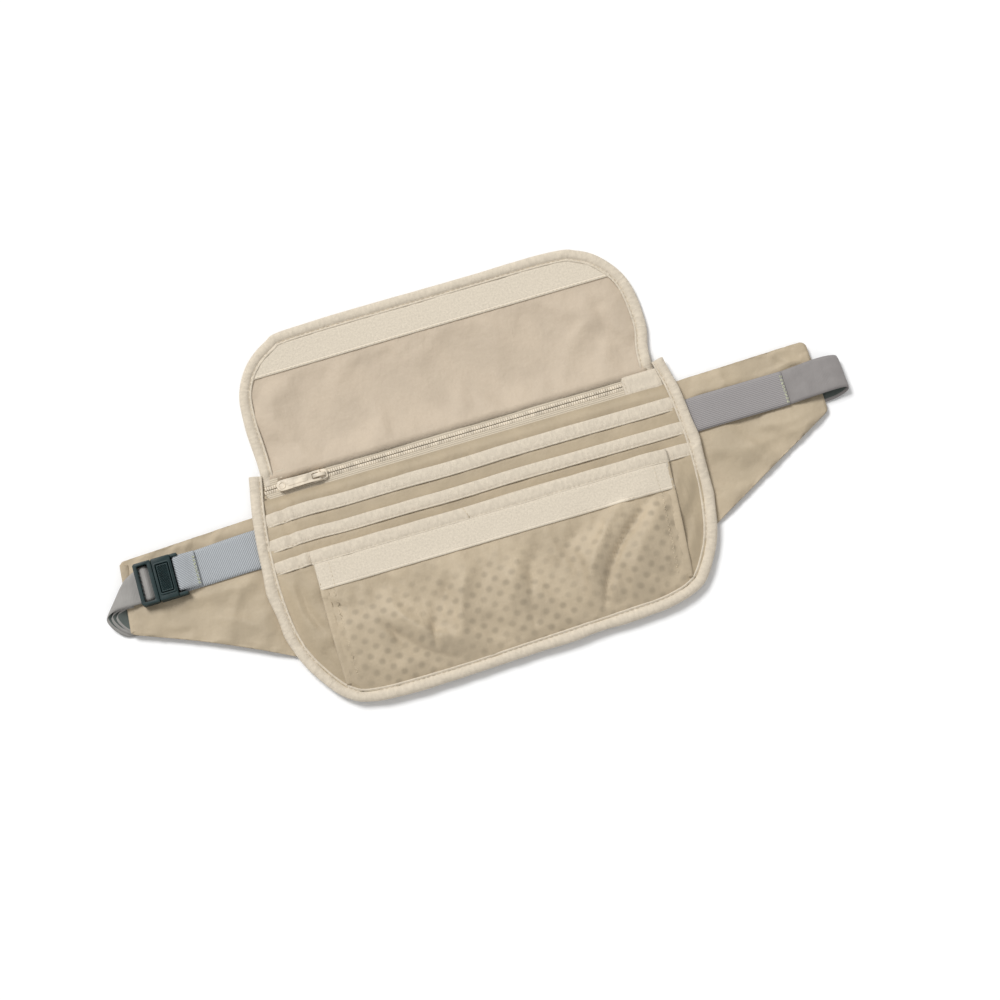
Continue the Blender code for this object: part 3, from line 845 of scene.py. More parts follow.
def front_left(y):
    """The X of the front pocket's left side at height Y."""
    return FRONT_LEFT + 0 * y


def front_right(y):
    """The X of the front pocket's slanting right side at height Y."""
    return FRONT_RIGHT_TOP + (FRONT_RIGHT_LOW - FRONT_RIGHT_TOP) * (-58 - y) / 63


def build_front_hems():
    """The front pocket's turned sides, with the rough zigzag that oversews each of them."""
    section = folded_section([
        (4.6, 0.05), (4.1, 0.26), (3.4, 0.3), (2.4, 0.42), (1.2, 0.62), (0.3, 0.42), (0, 0), (0.3, -0.4),
        (1.4, -0.5), (3.0, -0.5), (4.6, -0.45),
    ])

    def panel(x, y):
        return surface_z("front_pocket_panel", x, y)

    for word, edge, inward in (("left", front_left, 1), ("right", front_right, -1)):
        y = np.arange(FRONT_MOUTH[1] + 0.5, -137.0, -1.0)
        y = y[distance_to(POUCH_EDGE, edge(y) - 0.2 * inward, y) > 6.2]
        line = np.stack([edge(y) - 0.2 * inward, y, panel(edge(y) + 1.8 * inward, y) + 0.12], -1)[::inward]
        name = f"front_pocket_{word}_hem"
        obj = tape(name, line, section, M["front"], pucker(71 + inward, 0.25, 0.06, 5.0))
        show(obj, "pouch")
        marks = np.arange(y[0] - 2, y[-1] + 3, -1.25)
        across = edge(marks) + inward * (7.4 + 0.95 * (-1.0) ** np.arange(len(marks)))
        sew(name + "_zigzag", laid(across, marks, panel, 0.22), pitch=1.7, length=1.35, thick=0.5)


TAPE_T = 0.36


def folded_section(outside):
    """The ring of a tape folded over an edge: its outside from front lip to back lip, then its inside."""
    outside = np.asarray(outside, float)
    along = np.gradient(outside, axis=0)
    along /= np.linalg.norm(along, axis=1)[:, None]
    return np.vstack([outside, (outside - TAPE_T * np.stack([along[:, 1], -along[:, 0]], 1))[::-1]])


def mouth_section(width, thick):
    """A folded tape's section, as (inwards, up) points."""
    half = thick / 2
    return folded_section([
        (width, half * 0.36), (width - 0.45, half * 0.86), (width - 0.85, half * 0.7),
        (width - 1.15, half * 0.6), (width - 1.5, half * 0.82), (width * 0.62, half * 1.12),
        (width * 0.3, half * 1.15), (0.9, half), (0.25, half * 0.75), (0, 0), (0.3, -half * 0.8),
        (1.2, -half), (width * 0.5, -half), (width, -half * 0.9),
    ])


def pucker(seed, wave=0.3, depth=0.16, pitch=4.5, lumps=()):
    """Bias puckers: the tape's edge wanders, bulges at its lumps, and its face ripples on a slant."""
    def ripple(run, inwards):
        slant = run + 0.9 * inwards
        shift = wave * noise(run, 0 * run, 17, seed)
        for middle, reach, size in lumps:
            shift = shift - size * np.exp(-(((run - middle) / reach) ** 2))
        shift = shift * smoothstep(8, 0, inwards)
        lift = noise(slant, inwards * 0.3, pitch, seed + 1) + 0.6 * noise(slant, inwards, pitch / 2, seed + 2)
        return shift, depth * lift
    return ripple


def build_mouths():
    """The bindings of the four pocket mouths, of which three bow a little at their left ends."""
    for key, (top, low) in MOUTHS.items():
        left, right = edges_at((top + low) / 2, INNER_EDGE)
        x = np.arange(left, right + 0.5, 0.9)
        gape = np.sin(np.clip((x - left) / (right - left), 0, 1) * math.pi) ** 1.5
        bow = 0.2 if key == "slip" else 0.7
        y = top + 0.3 * noise(x, 0 * x, 34, 41 + len(key)) + bow * np.exp(-(((x + 92) / 13) ** 2))
        tucked = 1 - smoothstep(0, 10, np.minimum(x - left, right - x))
        z = layer_height(key, x, y - 4) + 0.26 + 0.14 * gape - 0.7 * tucked + end_pleats(x, y - 4)
        mouth_tape(key + "_pocket_binding", np.stack([x, y, z], -1), top - low, 51 + top)
    x = np.arange(FRONT_LEFT - 0.3, FRONT_RIGHT_TOP + 0.6, 0.9)
    y = FRONT_MOUTH[0] + 0.2 * noise(x, 0 * x, 40, 47)
    z = layer_height("front", x, y - 4) + 0.42
    mouth_tape("front_pocket_binding", np.stack([x, y, z], -1), FRONT_MOUTH[0] - FRONT_MOUTH[1], 77)


def mouth_tape(name, line, width, seed):
    """A binding folded over a pocket's mouth, with its seam."""
    line = line[::-1]
    ripple = pucker(int(abs(seed)), 0.22, 0.14, 6.5)
    obj = show(tape(name, line, mouth_section(width, 1.35), M["binding"], ripple), "pouch", (name,))
    seam = on_tape(line, width - 1.15, 0.5, ripple)
    sew(name + "_seam", seam, thick=0.24, length=1.7, pitch=2.5, sink=0.1)


def strip_grid(x0, x1, y0, y1, height, step):
    """A rectangle of points on a surface."""
    xs, ys = (np.linspace(a, b, round(abs(b - a) / step)) for a, b in ((x0, x1), (y0, y1)))
    return laid(*np.meshgrid(xs, ys), height)


def build_hook_strip():
    """The hook tape of the front pocket with its seams, and the tack of the binding above it."""
    def height(x, y):
        return layer_height("front", x, y) + front_folds(x, y) + 0.46 + 0.1 * noise(x, y, 9, 61)

    grid = strip_grid(FRONT_LEFT + 0.4, FRONT_RIGHT_TOP - 1.0, *HOOK_BAND, height, 1.5)
    obj = show(cloth_sheet("hook_strip", grid, M["hook"], thickness=0.8), "pouch", ("hook_strip",))
    x = np.arange(FRONT_LEFT + 1, FRONT_RIGHT_TOP - 1.5, 1.0)
    y = np.arange(HOOK_BAND[0] - 0.5, HOOK_BAND[1], -0.8)
    seams = (
        ("top", x, HOOK_BAND[0] - 0.9, 0.42, 0.08), ("low", x, HOOK_BAND[1] + 0.9, 0.42, 0.08),
        ("left", FRONT_LEFT + 8.5, y, 0.45, 0.0), ("right", FRONT_RIGHT_TOP - 9, y, 0.45, 0.0),
    )
    for word, across, down, lift, sink in seams:
        sew("hook_strip_seam_" + word, laid(across, down, height, lift), **STRIP_SEAM, sink=sink)
    y = np.arange(FRONT_MOUTH[0] - 0.3, FRONT_MOUTH[1] + 0.4, -0.6)
    x = -10.4 - 0.35 * (y - FRONT_MOUTH[0])
    tack = np.stack([x, y, layer_height("front", x, y - 4) + 1.15], -1)
    sew("front_pocket_binding_tack", tack, thick=0.5, length=1.5, pitch=1.7)


BINDING_SECTION = folded_section([
    (7.2, 0.7), (7.0, 1.1), (6.6, 1.25), (6.2, 1.1), (5.85, 0.62), (5.5, 0.66), (5.1, 1.15), (4.4, 1.6),
    (3.2, 1.9), (2.0, 1.8), (1.0, 1.4), (0.3, 0.8), (0.0, 0.0), (0.3, -0.75), (1.1, -1.15), (2.6, -1.32),
    (4.6, -1.3), (7.0, -0.95),
])


def build_edge_binding():
    """The binding round the pouch, whose edge bulges at a few places."""
    line = evenly(POUCH_EDGE, 0.9)
    line = np.c_[line, SEAM_Z + seam_rise(line[:, 0], line[:, 1])]
    ripple = pucker(81, 0.55, 0.3, 7.5, ((68, 9, 1.0), (92, 6, 0.6), (430, 7, 0.9), (398, 6, 0.7)))
    obj = show(tape("edge_binding", line, BINDING_SECTION, M["binding"], ripple), "pouch", ("edge_binding",))
    sew("edge_binding_seam", on_tape(line, 5.7, 0.74, ripple)[3:-3], **BINDING_SEAM)


# ---------------------------------------------------------------- flap


def flap_height(x, y):
    """The middle of the open flap: it lies low, and rises to its seam at the pouch's top edge."""
    z = 1.5 + (SEAM_Z - 1.8) * smoothstep(14, -6, y)
    d = distance_to(FLAP_EDGE, x, y)
    return z + 0.5 * smoothstep(4, 26, d) + 0.25 * noise(x, y, 30, 91) * smoothstep(4, 16, d)


FLAP_FOLDS = (
    (96, 44, 64, -2, 7, 0.9), (108, 20, 84, 6, 5, 0.6), (-96, 36, -78, -2, 7, 0.7), (-60, 44, -30, 2, 9, 0.7),
    (10, 40, 34, 4, 9, -0.6), (-20, 34, 10, 10, 8, 0.5), (92, 50, 102, 12, 2.4, -0.8),
    (84, 34, 106, 22, 2.6, 0.7), (100, 40, 72, 26, 2.4, -0.7), (-106, 30, -98, -2, 2.6, -0.7),
)


def flap_folds(x, y):
    """The flap's soft folds, which die out under the loop tape."""
    return (folds(x, y, FLAP_FOLDS) + 0.12 * noise(x, y, 8, 92)) * (0.25 + 0.75 * smoothstep(62, 42, y))


def flap_span(y, inset):
    """The flap's left and right X at height Y, so far inside its edge."""
    inner = inside(FLAP_EDGE, inset)
    top = int(np.argmax(inner[:, 1]))
    right, left = inner[: top + 1], inner[top:][::-1]
    return np.interp(y, left[:, 1], left[:, 0]), np.interp(y, right[:, 1], right[:, 0])


def flap_grid(step, inset=3.6):
    """Plan points of the flap's cloths, rows from its seam to its free end."""
    high, low = inside(FLAP_EDGE, inset)[:, 1].max() - 0.3, -6.2
    t = np.linspace(0, 1, round((high - low) / step))
    ys = low + (high - low) * np.sin(t * math.pi / 2) ** 0.92
    columns = round(212 / step)
    return np.linspace(*flap_span(ys, inset), columns, axis=1), np.repeat(ys[:, None], columns, 1)


FLAP_BLEND = ("flap", (0, FOLD_Y - 3.0, 0), (0, FOLD_Y + 9.0, 0))


def build_flap():
    """The flap's two cloths, its binding and the loop tape, as it lies open."""
    x, y = flap_grid(1.9)
    relief = flap_folds(x, y)
    uv = np.stack([x, y], -1)
    z = flap_height(x, y) + 0.2 + relief
    grid = np.stack([x, y, np.maximum(z, 0.35)], -1)
    grid = crumple(grid, border(grid) | (y > 49), 11, grow=0.012, cap=1.0)
    grid[..., 2] = np.maximum(grid[..., 2], 1.0)
    lift = np.minimum(grid[..., 2] - z, 0.3)
    shell = np.maximum(flap_height(x, y) - 0.8 + relief * 0.6, 0.35)
    shell = np.stack([x, y, np.maximum(shell + 0.8 * lift, 0.35)], -1)
    for name, points, mat in (("flap_lining", grid, "lining"), ("flap_shell", shell, "shell")):
        obj = show(cloth_sheet(name, points, M[mat], uv), "pouch", (name,), blend=FLAP_BLEND)

    line = evenly(FLAP_EDGE, 0.9)
    line = np.c_[line, flap_height(line[:, 0], line[:, 1]) + 0.32 - 1.5 * smoothstep(0.5, -4.5, line[:, 1])]
    ripple = pucker(95, 0.3, 0.22, 7.5)
    obj = tape("flap_binding", line, BINDING_SECTION * (1, 0.86), M["binding"], ripple)
    show(obj, "pouch", ("flap_binding",), blend=FLAP_BLEND)
    seam = stitches("flap_binding_seam", on_tape(line, 5.7, 0.62, ripple), **BINDING_SEAM)
    show(seam, "pouch", blend=FLAP_BLEND)

    def lining(x, y):
        return flap_height(x, y) + 0.2 + flap_folds(x, y)

    levels = np.linspace(*LOOP_BAND, 12)
    grid = laid(np.linspace(*flap_span(levels, 5.5), 130, axis=1), levels[:, None], lining, 0.48)
    obj = show(cloth_sheet("loop_strip", grid, M["loop"], thickness=0.58), "flap", ("loop_strip",))
    x = np.arange(grid[-1, 0, 0] + 1, grid[-1, -1, 0] - 1, 1.0)
    seam = laid(x, LOOP_BAND[1] + 0.8, lining, 0.8)
    sew("loop_strip_seam", seam, "flap", thick=0.2, length=1.6, pitch=2.4)


# ---------------------------------------------------------------- zip


def build_zip():
    """The zip's two tapes, its coil and the cover of its end."""
    def height(x, y):
        return 3.75 - 0.5 * smoothstep(-5.0, -2.5, y) + 0.12 * noise(x, y, 14, 101)

    for name, a, b in (("zip_tape_upper", -0.3, ZIP_Y + 0.18), ("zip_tape_lower", ZIP_Y - 0.18, -20.1)):
        grid = strip_grid(*ZIP_ENDS, a, b, height, 1.0)
        obj = show(cloth_sheet(name, grid, M["zip_tape"], thickness=0.45), "pouch", (name,))
    coil_row("zip_coil_upper", 1)
    coil_row("zip_coil_lower", -1)
    end_tab()


def coil_row(name, side):
    """One row of the zip's coil: a rounded tooth every pitch, half a pitch off the other row."""
    pitch = 1.3
    sides = 8
    stations = [(0.18, 0.45), (0.3, 0.58), (0.8, 0.62), (1.5, 0.58), (2.0, 0.4), (2.2, 0.12)]
    verts, faces = [], []
    for x in np.arange(ZIP_ENDS[0], ZIP_ENDS[1] - 1, pitch) + (pitch / 2 if side > 0 else 0):
        faces += tube_faces(len(stations), sides, len(verts))
        for off, radius in stations:
            for a in np.arange(sides) * 2 * math.pi / sides:
                verts.append((x + radius * math.cos(a), ZIP_Y + side * off, 4.0 + radius * 0.5 * math.sin(a)))
    show(outward(new_mesh(name, verts, faces, M["zip"])), "pouch", (name,))


def end_tab():
    """The folded cloth cover over the zip's right end."""
    def height(x, y):
        d = np.minimum(np.minimum(x - 92.6, 114.5 - x), np.minimum(-4.9 - y, y + 16.4))
        return 4.15 + 0.5 * smoothstep(0, 2.0, d) + 0.12 * noise(x, y, 7, 111)

    grid = strip_grid(92.6, 114.5, -4.9, -16.4, height, 0.9)
    obj = show(cloth_sheet("zip_end_tab", grid, M["binding"], thickness=0.5), "pouch", ("zip_end_tab",))
    line = laid(94.0, np.arange(-5.8, -15.8, -0.8), height, 0.3)
    sew("zip_end_tab_seam", line, thick=0.22, length=1.5, pitch=2.2)


def extruded(outline, low, high, mat, bevel=0.25, holes=()):
    """A plate with a plan outline and rounded rims."""
    curve = bpy.data.curves.new("plate", "CURVE")
    curve.dimensions = "2D"
    curve.fill_mode = "BOTH"
    curve.extrude = (high - low) / 2 * MM
    for ring in (outline, *holes):
        spline = curve.splines.new("POLY")
        spline.points.add(len(ring) - 1)
        for place, (x, y) in zip(spline.points, ring):
            place.co = (x * MM, y * MM, 0, 1)
        spline.use_cyclic_u = True
    obj = linked(bpy.data.objects.new("plate", curve))
    graph = bpy.context.evaluated_depsgraph_get()
    mesh = bpy.data.meshes.new_from_object(obj.evaluated_get(graph), depsgraph=graph)
    bpy.data.objects.remove(obj, do_unlink=True)
    shape = bmesh.new()
    shape.from_mesh(mesh)
    bmesh.ops.remove_doubles(shape, verts=shape.verts, dist=1e-6)
    bmesh.ops.dissolve_limit(shape, angle_limit=math.radians(1), verts=shape.verts, edges=shape.edges)
    shape.to_mesh(mesh)
    shape.free()
    mesh.transform(Matrix.Translation(point(0, 0, (low + high) / 2)))
    mesh.materials.clear()
    mesh.materials.append(M[mat])
    obj = linked(bpy.data.objects.new("plate", mesh))
    if bevel:
        rim = obj.modifiers.new("Bevel", "BEVEL")
        rim.width = bevel * MM
        rim.segments = 3
        rim.limit_method = "ANGLE"
        rim.angle_limit = math.radians(40)
        obj = applied(obj)
    obj.data.shade_smooth()
    obj.data.set_sharp_from_angle(angle=math.radians(35))
    return outward(obj)


def rounded(cx, cy, width, height, radius, steps=6):
    """The plan outline of a rectangle with round corners."""
    radii = radius if isinstance(radius, tuple) else (radius,) * 4
    out = []
    for k, (r, sx, sy) in enumerate(zip(radii, (1, -1, -1, 1), (1, 1, -1, -1))):
        for i in range(steps + 1):
            a = math.radians(90 * k + 90 * i / steps)
            x, y = sx * (width / 2 - r) + r * math.cos(a), sy * (height / 2 - r) + r * math.sin(a)
            out.append((cx + x, cy + y))
    return out


def slab(plan, low, high, mat, bevel=0.25, *holes):
    """A plate with round corners; plan and holes are (middle X, middle Y, length, width, radius)."""
    return extruded(rounded(*plan), low, high, mat, bevel, [rounded(*hole) for hole in holes])


def joined(name, pieces):
    """Several solids as one piece."""
    shape = bmesh.new()
    for piece in pieces:
        shape.from_mesh(piece.data)
    mesh = bpy.data.meshes.new(name)
    shape.to_mesh(mesh)
    shape.free()
    mesh.materials.append(pieces[0].data.materials[0])
    for piece in pieces:
        bpy.data.objects.remove(piece, do_unlink=True)
    return linked(bpy.data.objects.new(name, mesh))


def build_slider():
    """The zip's slider: two plates joined by a post, with side rims and a crown for the puller."""
    body = [
        (-5.0, 1.7), (-3.6, 3.0), (-0.5, 3.25), (3.0, 2.7), (4.6, 1.9), (4.75, 0), (4.6, -1.9), (3.0, -2.7),
        (-0.5, -3.25), (-3.6, -3.0), (-5.0, -1.7), (-5.1, 0),
    ]
    ring = smooth_line([*body, body[0]], 0.5)[:-1]
    outline = [(SLIDER_X + x, ZIP_Y + y) for x, y in ring[::-1]]
    arch = ((-3.3, 5.4), (-3.1, 6.9), (-1.8, 7.5), (1.6, 7.4), (3.2, 6.4), (3.4, 5.4))
    show(joined("zip_slider", [
        extruded(outline, 4.75, 5.6, "zip", 0.3),
        extruded(outline, 2.5, 3.2, "zip", 0.25),
        slab((SLIDER_X - 3.4, ZIP_Y, 2.2, 0.3, 0.12), 3.1, 4.9, "zip", 0),
        slab((SLIDER_X, ZIP_Y - 2.9, 7.0, 0.55, 0.25), 4.35, 4.9, "zip", 0.1),
        slab((SLIDER_X, ZIP_Y + 2.9, 7.0, 0.55, 0.25), 4.35, 4.9, "zip", 0.1),
        arched_bar([(SLIDER_X + x, ZIP_Y, z) for x, z in arch], 1.1, 0.42),
    ]), "zip_slider", ("zip_slider",))


def arched_bar(line, half_width, half_thick):
    """A flat bar along a line that runs in X and Z."""
    line = smooth_line(line, 0.3)
    along = np.gradient(line, axis=0)
    along /= np.linalg.norm(along, axis=1)[:, None]
    side = np.array([0, 1.0, 0])
    angles = np.linspace(0, 2 * math.pi, 17)[:-1]
    ring = [[math.copysign(abs(v) ** 0.5, v) for v in (math.cos(a), math.sin(a))] for a in angles]
    grid = np.array([[p + c * half_width * side + s * half_thick * u for c, s in ring]
                     for p, u in zip(line, np.cross(along, side))])
    return outward(new_mesh("bar", grid, tube_faces(len(line), len(ring)), M["zip"]))


def build_pull():
    """The puller: an eye round the slider's crown, a tapering tab and a ring at its free end."""
    half = [(0.9, 2.9), (-2.0, 2.95), (-6, 2.7), (-14, 2.85), (-20.5, 3.0), (-23, 2.3), (-24.1, 0)]
    side = smooth_line(half, 0.6)
    outline = np.vstack([side, side[-2::-1] * (1, -1)]) + (SLIDER_X, ZIP_Y)
    eye = rounded(SLIDER_X - 1.95, ZIP_Y, 4.0, 3.4, 0.8)
    tab = extruded(outline, 5.85, 6.75, "zip", 0.25, (eye,))
    ring = torus((SLIDER_X - 21.0, ZIP_Y, 6.72), 1.75, 0.34)
    rib = slab((SLIDER_X - 12.2, ZIP_Y, 11.5, 2.6, 1.2), 6.5, 6.98, "zip", 0.2)
    show(joined("zip_pull", [tab, ring, rib]), "zip_pull", ("zip_pull",))


def torus(centre, radius, thick, around=32, sides=10):
    """A small ring that lies flat."""
    a, b = np.meshgrid(np.arange(around) * 2 * math.pi / around, np.arange(sides) * 2 * math.pi / sides,
                       indexing="ij")
    reach = radius + thick * np.cos(b)
    verts = np.stack([reach * np.cos(a), reach * np.sin(a), thick * np.sin(b)], -1) + centre
    faces = grid_faces(around + 1, sides, wrap=True) % (around * sides)
    return outward(new_mesh("ring", verts, faces, M["zip"]))


# ---------------------------------------------------------------- wings

WING_FOLDS = {
    -1: (
        (-130, -58, -174, -56, 4.5, 1.1), (-132, -74, -176, -66, 4, -1.0), (-128, -88, -160, -72, 3.4, 1.2),
        (-150, -29, -176, -27, 2.6, 0.8), (-159, -23, -162, -34, 1.3, 1.2), (-139, -21, -145, -31, 1.5, 1.3),
        (-166, -24, -170, -32, 1.6, 0.9), (-132, -52, -150, -90, 3.0, 0.7),
    ),
    1: (
        (128, -58, 170, -56, 4.5, 1.2), (132, -78, 160, -62, 4, -1.0), (160, -24, 192, -20, 2.6, 1.2),
        (128, -24, 158, -20, 3, 1.0), (170, -60, 190, -54, 3, 0.8), (150, -50, 188, -50, 3, 1.0),
        (144, -15, 150, -27, 1.5, 1.2), (176, -13, 188, -24, 1.7, 1.3), (181, -12, 174, -24, 1.5, 1.0),
        (150, -58, 164, -76, 3.0, 0.9),
    ),
}


def wing_relief(x, y, side, t, s):
    """A wing's folds, and how much each point belongs to its turned hems."""
    z = 0.5 * noise(x + 0.5 * y * side, y, 20, 121 + side) + 0.25 * noise(x, y + 0.4 * x * side, 8, 124)
    z += folds(x, y, WING_FOLDS[side])
    hem = np.maximum(smoothstep(0.05, 0.0, np.minimum(s, 1 - s)), smoothstep(0.955, 1.0, t))
    return z * (1 - 0.8 * hem) * smoothstep(0.0, 0.12, t), hem


LEFT_WEBBING_RUN = (
    (-118.5, 3.7), (-122.5, 3.75), (-128, 4.6), (-134, 5.1), (-150, 5.0), (-160, 5.0), (-165.5, 5.1),
)
ELASTIC_RUN = ((118.5, 3.35), (122.5, 3.4), (128, 4.25), (134, 4.8), (150, 4.6), (165, 4.6), (177.5, 4.75))


def wing_blend(word):
    """The wing and two points from the pouch to the wing, for a piece that runs from the pouch onto it."""
    side = -1 if word == "left" else 1
    return word + "_wing", (side * 120.5, -40, 0), (side * 131.0, -40, 0)


def wing_ceiling(x, y, side):
    """How high a wing's front may rise under the webbing, the elastic and the strap."""
    if side < 0:
        run = np.array(LEFT_WEBBING_RUN[::-1])
        return np.interp(x, run[:, 0], run[:, 1]) - 0.8 + 2.0 * smoothstep(12.5, 15, np.abs(y - BUCKLE_Y))
    run = np.array(ELASTIC_RUN)
    under = np.interp(x, run[:, 0], run[:, 1]) - 0.85 - 0.9 * smoothstep(156, 164, x)
    return under + 2.2 * smoothstep(10.5, 13, np.abs(y - ELASTIC_Y))


def wing_plan(side, root, end, sag, step=1.6):
    """Plan points from the pouch's seam to the wing's rounded end, and how far along and down each is."""
    t = np.linspace(0, 1, max(8, round(abs(end[0] - root[0]) / step)))[None]
    s = (0.5 - 0.5 * np.cos(np.linspace(0, math.pi, 54)))[:, None]
    t, s = t + 0 * s, s + 0 * t
    top = root[1] + (end[1] - root[1]) * t
    low = root[2] + (end[2] - root[2]) * t + sag * np.sin(t * math.pi)
    y = top * (1 - s) + low * s
    tip = end[0] + (-3.4 * s if side < 0 else 0.8 * s)
    corner = 2.2 if side < 0 else 3.6
    for depth in (top - y, y - low):
        tip = tip - side * (corner - np.sqrt(corner**2 - np.clip(corner - depth, 0, None) ** 2))
    return root[0] + (tip - root[0]) * t, y, t, s


def build_wings():
    """Each wing's back and front, sewn together round their hems and into the pouch's edge."""
    plans = (
        ("left", -1, LEFT_WING_ROOT, LEFT_WING_END, 1.6, (3.0, 3.75), 2.65),
        ("right", 1, RIGHT_WING_ROOT, RIGHT_WING_END, 0.0, (1.8, 2.6), 2.2),
    )
    for word, side, root, end, sag, levels, seam in plans:
        x, y, t, s = wing_plan(side, root, end, sag)
        relief, hem = wing_relief(x, y, side, t, s)
        away = smoothstep(0.0, 0.16, t)
        tucked = seam - 0.6 * (1.5 - seam_rise(root[0], y))
        back = tucked + (levels[0] - tucked) * away
        layers = (("back", levels[0], 0.0, -0.12, 0.3), ("front", levels[1], 0.4, 0.12, 1.0))
        for layer, level, lift, apart, share in layers:
            together = sum(levels) / 2 + apart
            z = tucked + lift + (level + (together - level) * hem - tucked - lift) * away
            grid = np.stack([x, y, np.maximum(z + share * relief, back - 0.1 + lift)], -1)
            if layer == "front":
                grid = crumple(grid, border(grid, left=5), 21 + side, grow=0.012, cap=0.9)
                grid[..., 2] = np.clip(grid[..., 2], back + 0.3, wing_ceiling(x, y, side))
            name = f"{word}_wing_{layer}"
            obj = cloth_sheet(name, grid, M["wing"], np.stack([x, y], -1))
            show(obj, "pouch", (name,), blend=wing_blend(word))
    build_left_end_hem()


def build_left_end_hem():
    """The turned and stitched end of the left wing."""
    x, y, _, _ = wing_plan(-1, LEFT_WING_ROOT, LEFT_WING_END, 1.6)
    rim = np.stack([x[:, -1] - 0.2, y[:, -1], np.full(len(y), 3.4)], -1)[6:-6]
    hem_roll = [
        (-0.3, 0), (-0.1, 0.6), (0.8, 0.78), (2.6, 0.72), (4.2, 0.5), (4.5, 0.2), (4.4, -0.3), (2.4, -0.55),
        (0.8, -0.6), (-0.1, -0.5),
    ]
    obj = tape("left_wing_end_hem", rim, hem_roll, M["wing"], pucker(131, 0.2, 0.12, 5))
    show(obj, "left_wing")


# ---------------------------------------------------------------- webbing and straps


def cross_stitch(name, x, middle, z, body):
    """The zigzag of thread that ties two webbings together across the belt."""
    ys = np.arange(middle - 9, middle + 9, 1.6)
    for k, (off, lean) in enumerate(((0.0, 0.0), (0.7, 0.5))):
        line = np.stack([x + off + lean * (-1) ** np.arange(len(ys)), ys, np.full(len(ys), z)], -1)
        sew(f"{name}_{k + 1}", line, body, mat="green_thread", pitch=2.1, length=1.5, thick=0.42)


def strap(name, upper, lower, mat, thickness, held, body="pouch", wing=None, width=STRAP_W, **rest):
    """A webbing on a body, or from the pouch onto a wing, that stands for the node of its name."""
    obj, length = webbing(name, upper, lower, M[mat], thickness, **rest)
    show(obj, body, (name,), blend=wing_blend(wing) if wing else None)


def build_left_webbing():
    """The webbing from the left wing round the socket's bar and back to the stitches."""
    turn, bar = 1.7, -168.9
    bend = [(bar - turn * math.sin(a), 7.0 - turn * math.cos(a)) for a in np.radians((0, 45, 90, 135, 180))]
    route = [*LEFT_WEBBING_RUN, *bend, (-165.2, 8.0), (-161.8, 6.9), (-158.4, 6.3)]
    upper = [(x, -29.0 - 0.052 * (-123 - x), z) for x, z in route]
    lower = [(x, -51.0 - 0.02 * (-123 - x) * (z < 5.5), z) for x, z in route]
    strap("left_webbing", upper, lower, "webbing", 1.05, "folded", wing="left", width=21.0)
    cross_stitch("left_webbing_stitch", -159.6, -41.2, 7.25, "left_wing")


def build_right_straps():
    """The right wing's elastic, and the short strap that loops through it and runs back under the pouch."""
    upper, lower = ([(x, ELASTIC_Y + off, z) for x, z in ELASTIC_RUN] for off in (STRAP_W / 2, -STRAP_W / 2))
    strap("elastic_band", upper, lower, "elastic", 1.15, "stretched", wing="right")
    cross_stitch("elastic_stitch", 176.3, ELASTIC_Y, 5.42, "right_wing")
    upper = [
        (168, -26.5, 3.7), (177.5, -26.4, 3.85), (184, -26.1, 4.7), (199, -25.3, 5.3), (207.8, -26.0, 4.7),
        (209.6, -27.6, 2.6), (205, -29, 0.75), (196, -29.5, 0.55), (160, -30.4, 0.55), (112, -31.9, 1.25),
    ]
    lower = [
        (168, -45.9, 3.7), (177.5, -45.8, 3.85), (184, -45.6, 4.8), (199, -45.2, 5.9), (208.2, -45.2, 5.5),
        (210.4, -46.4, 3.5), (206, -48.2, 1.4), (196, -49.3, 0.7), (160, -49.9, 0.55), (112, -51.3, 1.25),
    ]
    # The side of this strap that faces into its turn gets the near-black painted shade.
    strap("waist_strap_right", upper, lower, "strap_end", 1.0, "folded", wing="right", wave=0.15,
          inner=(M["strap_curl_shade"], 1))


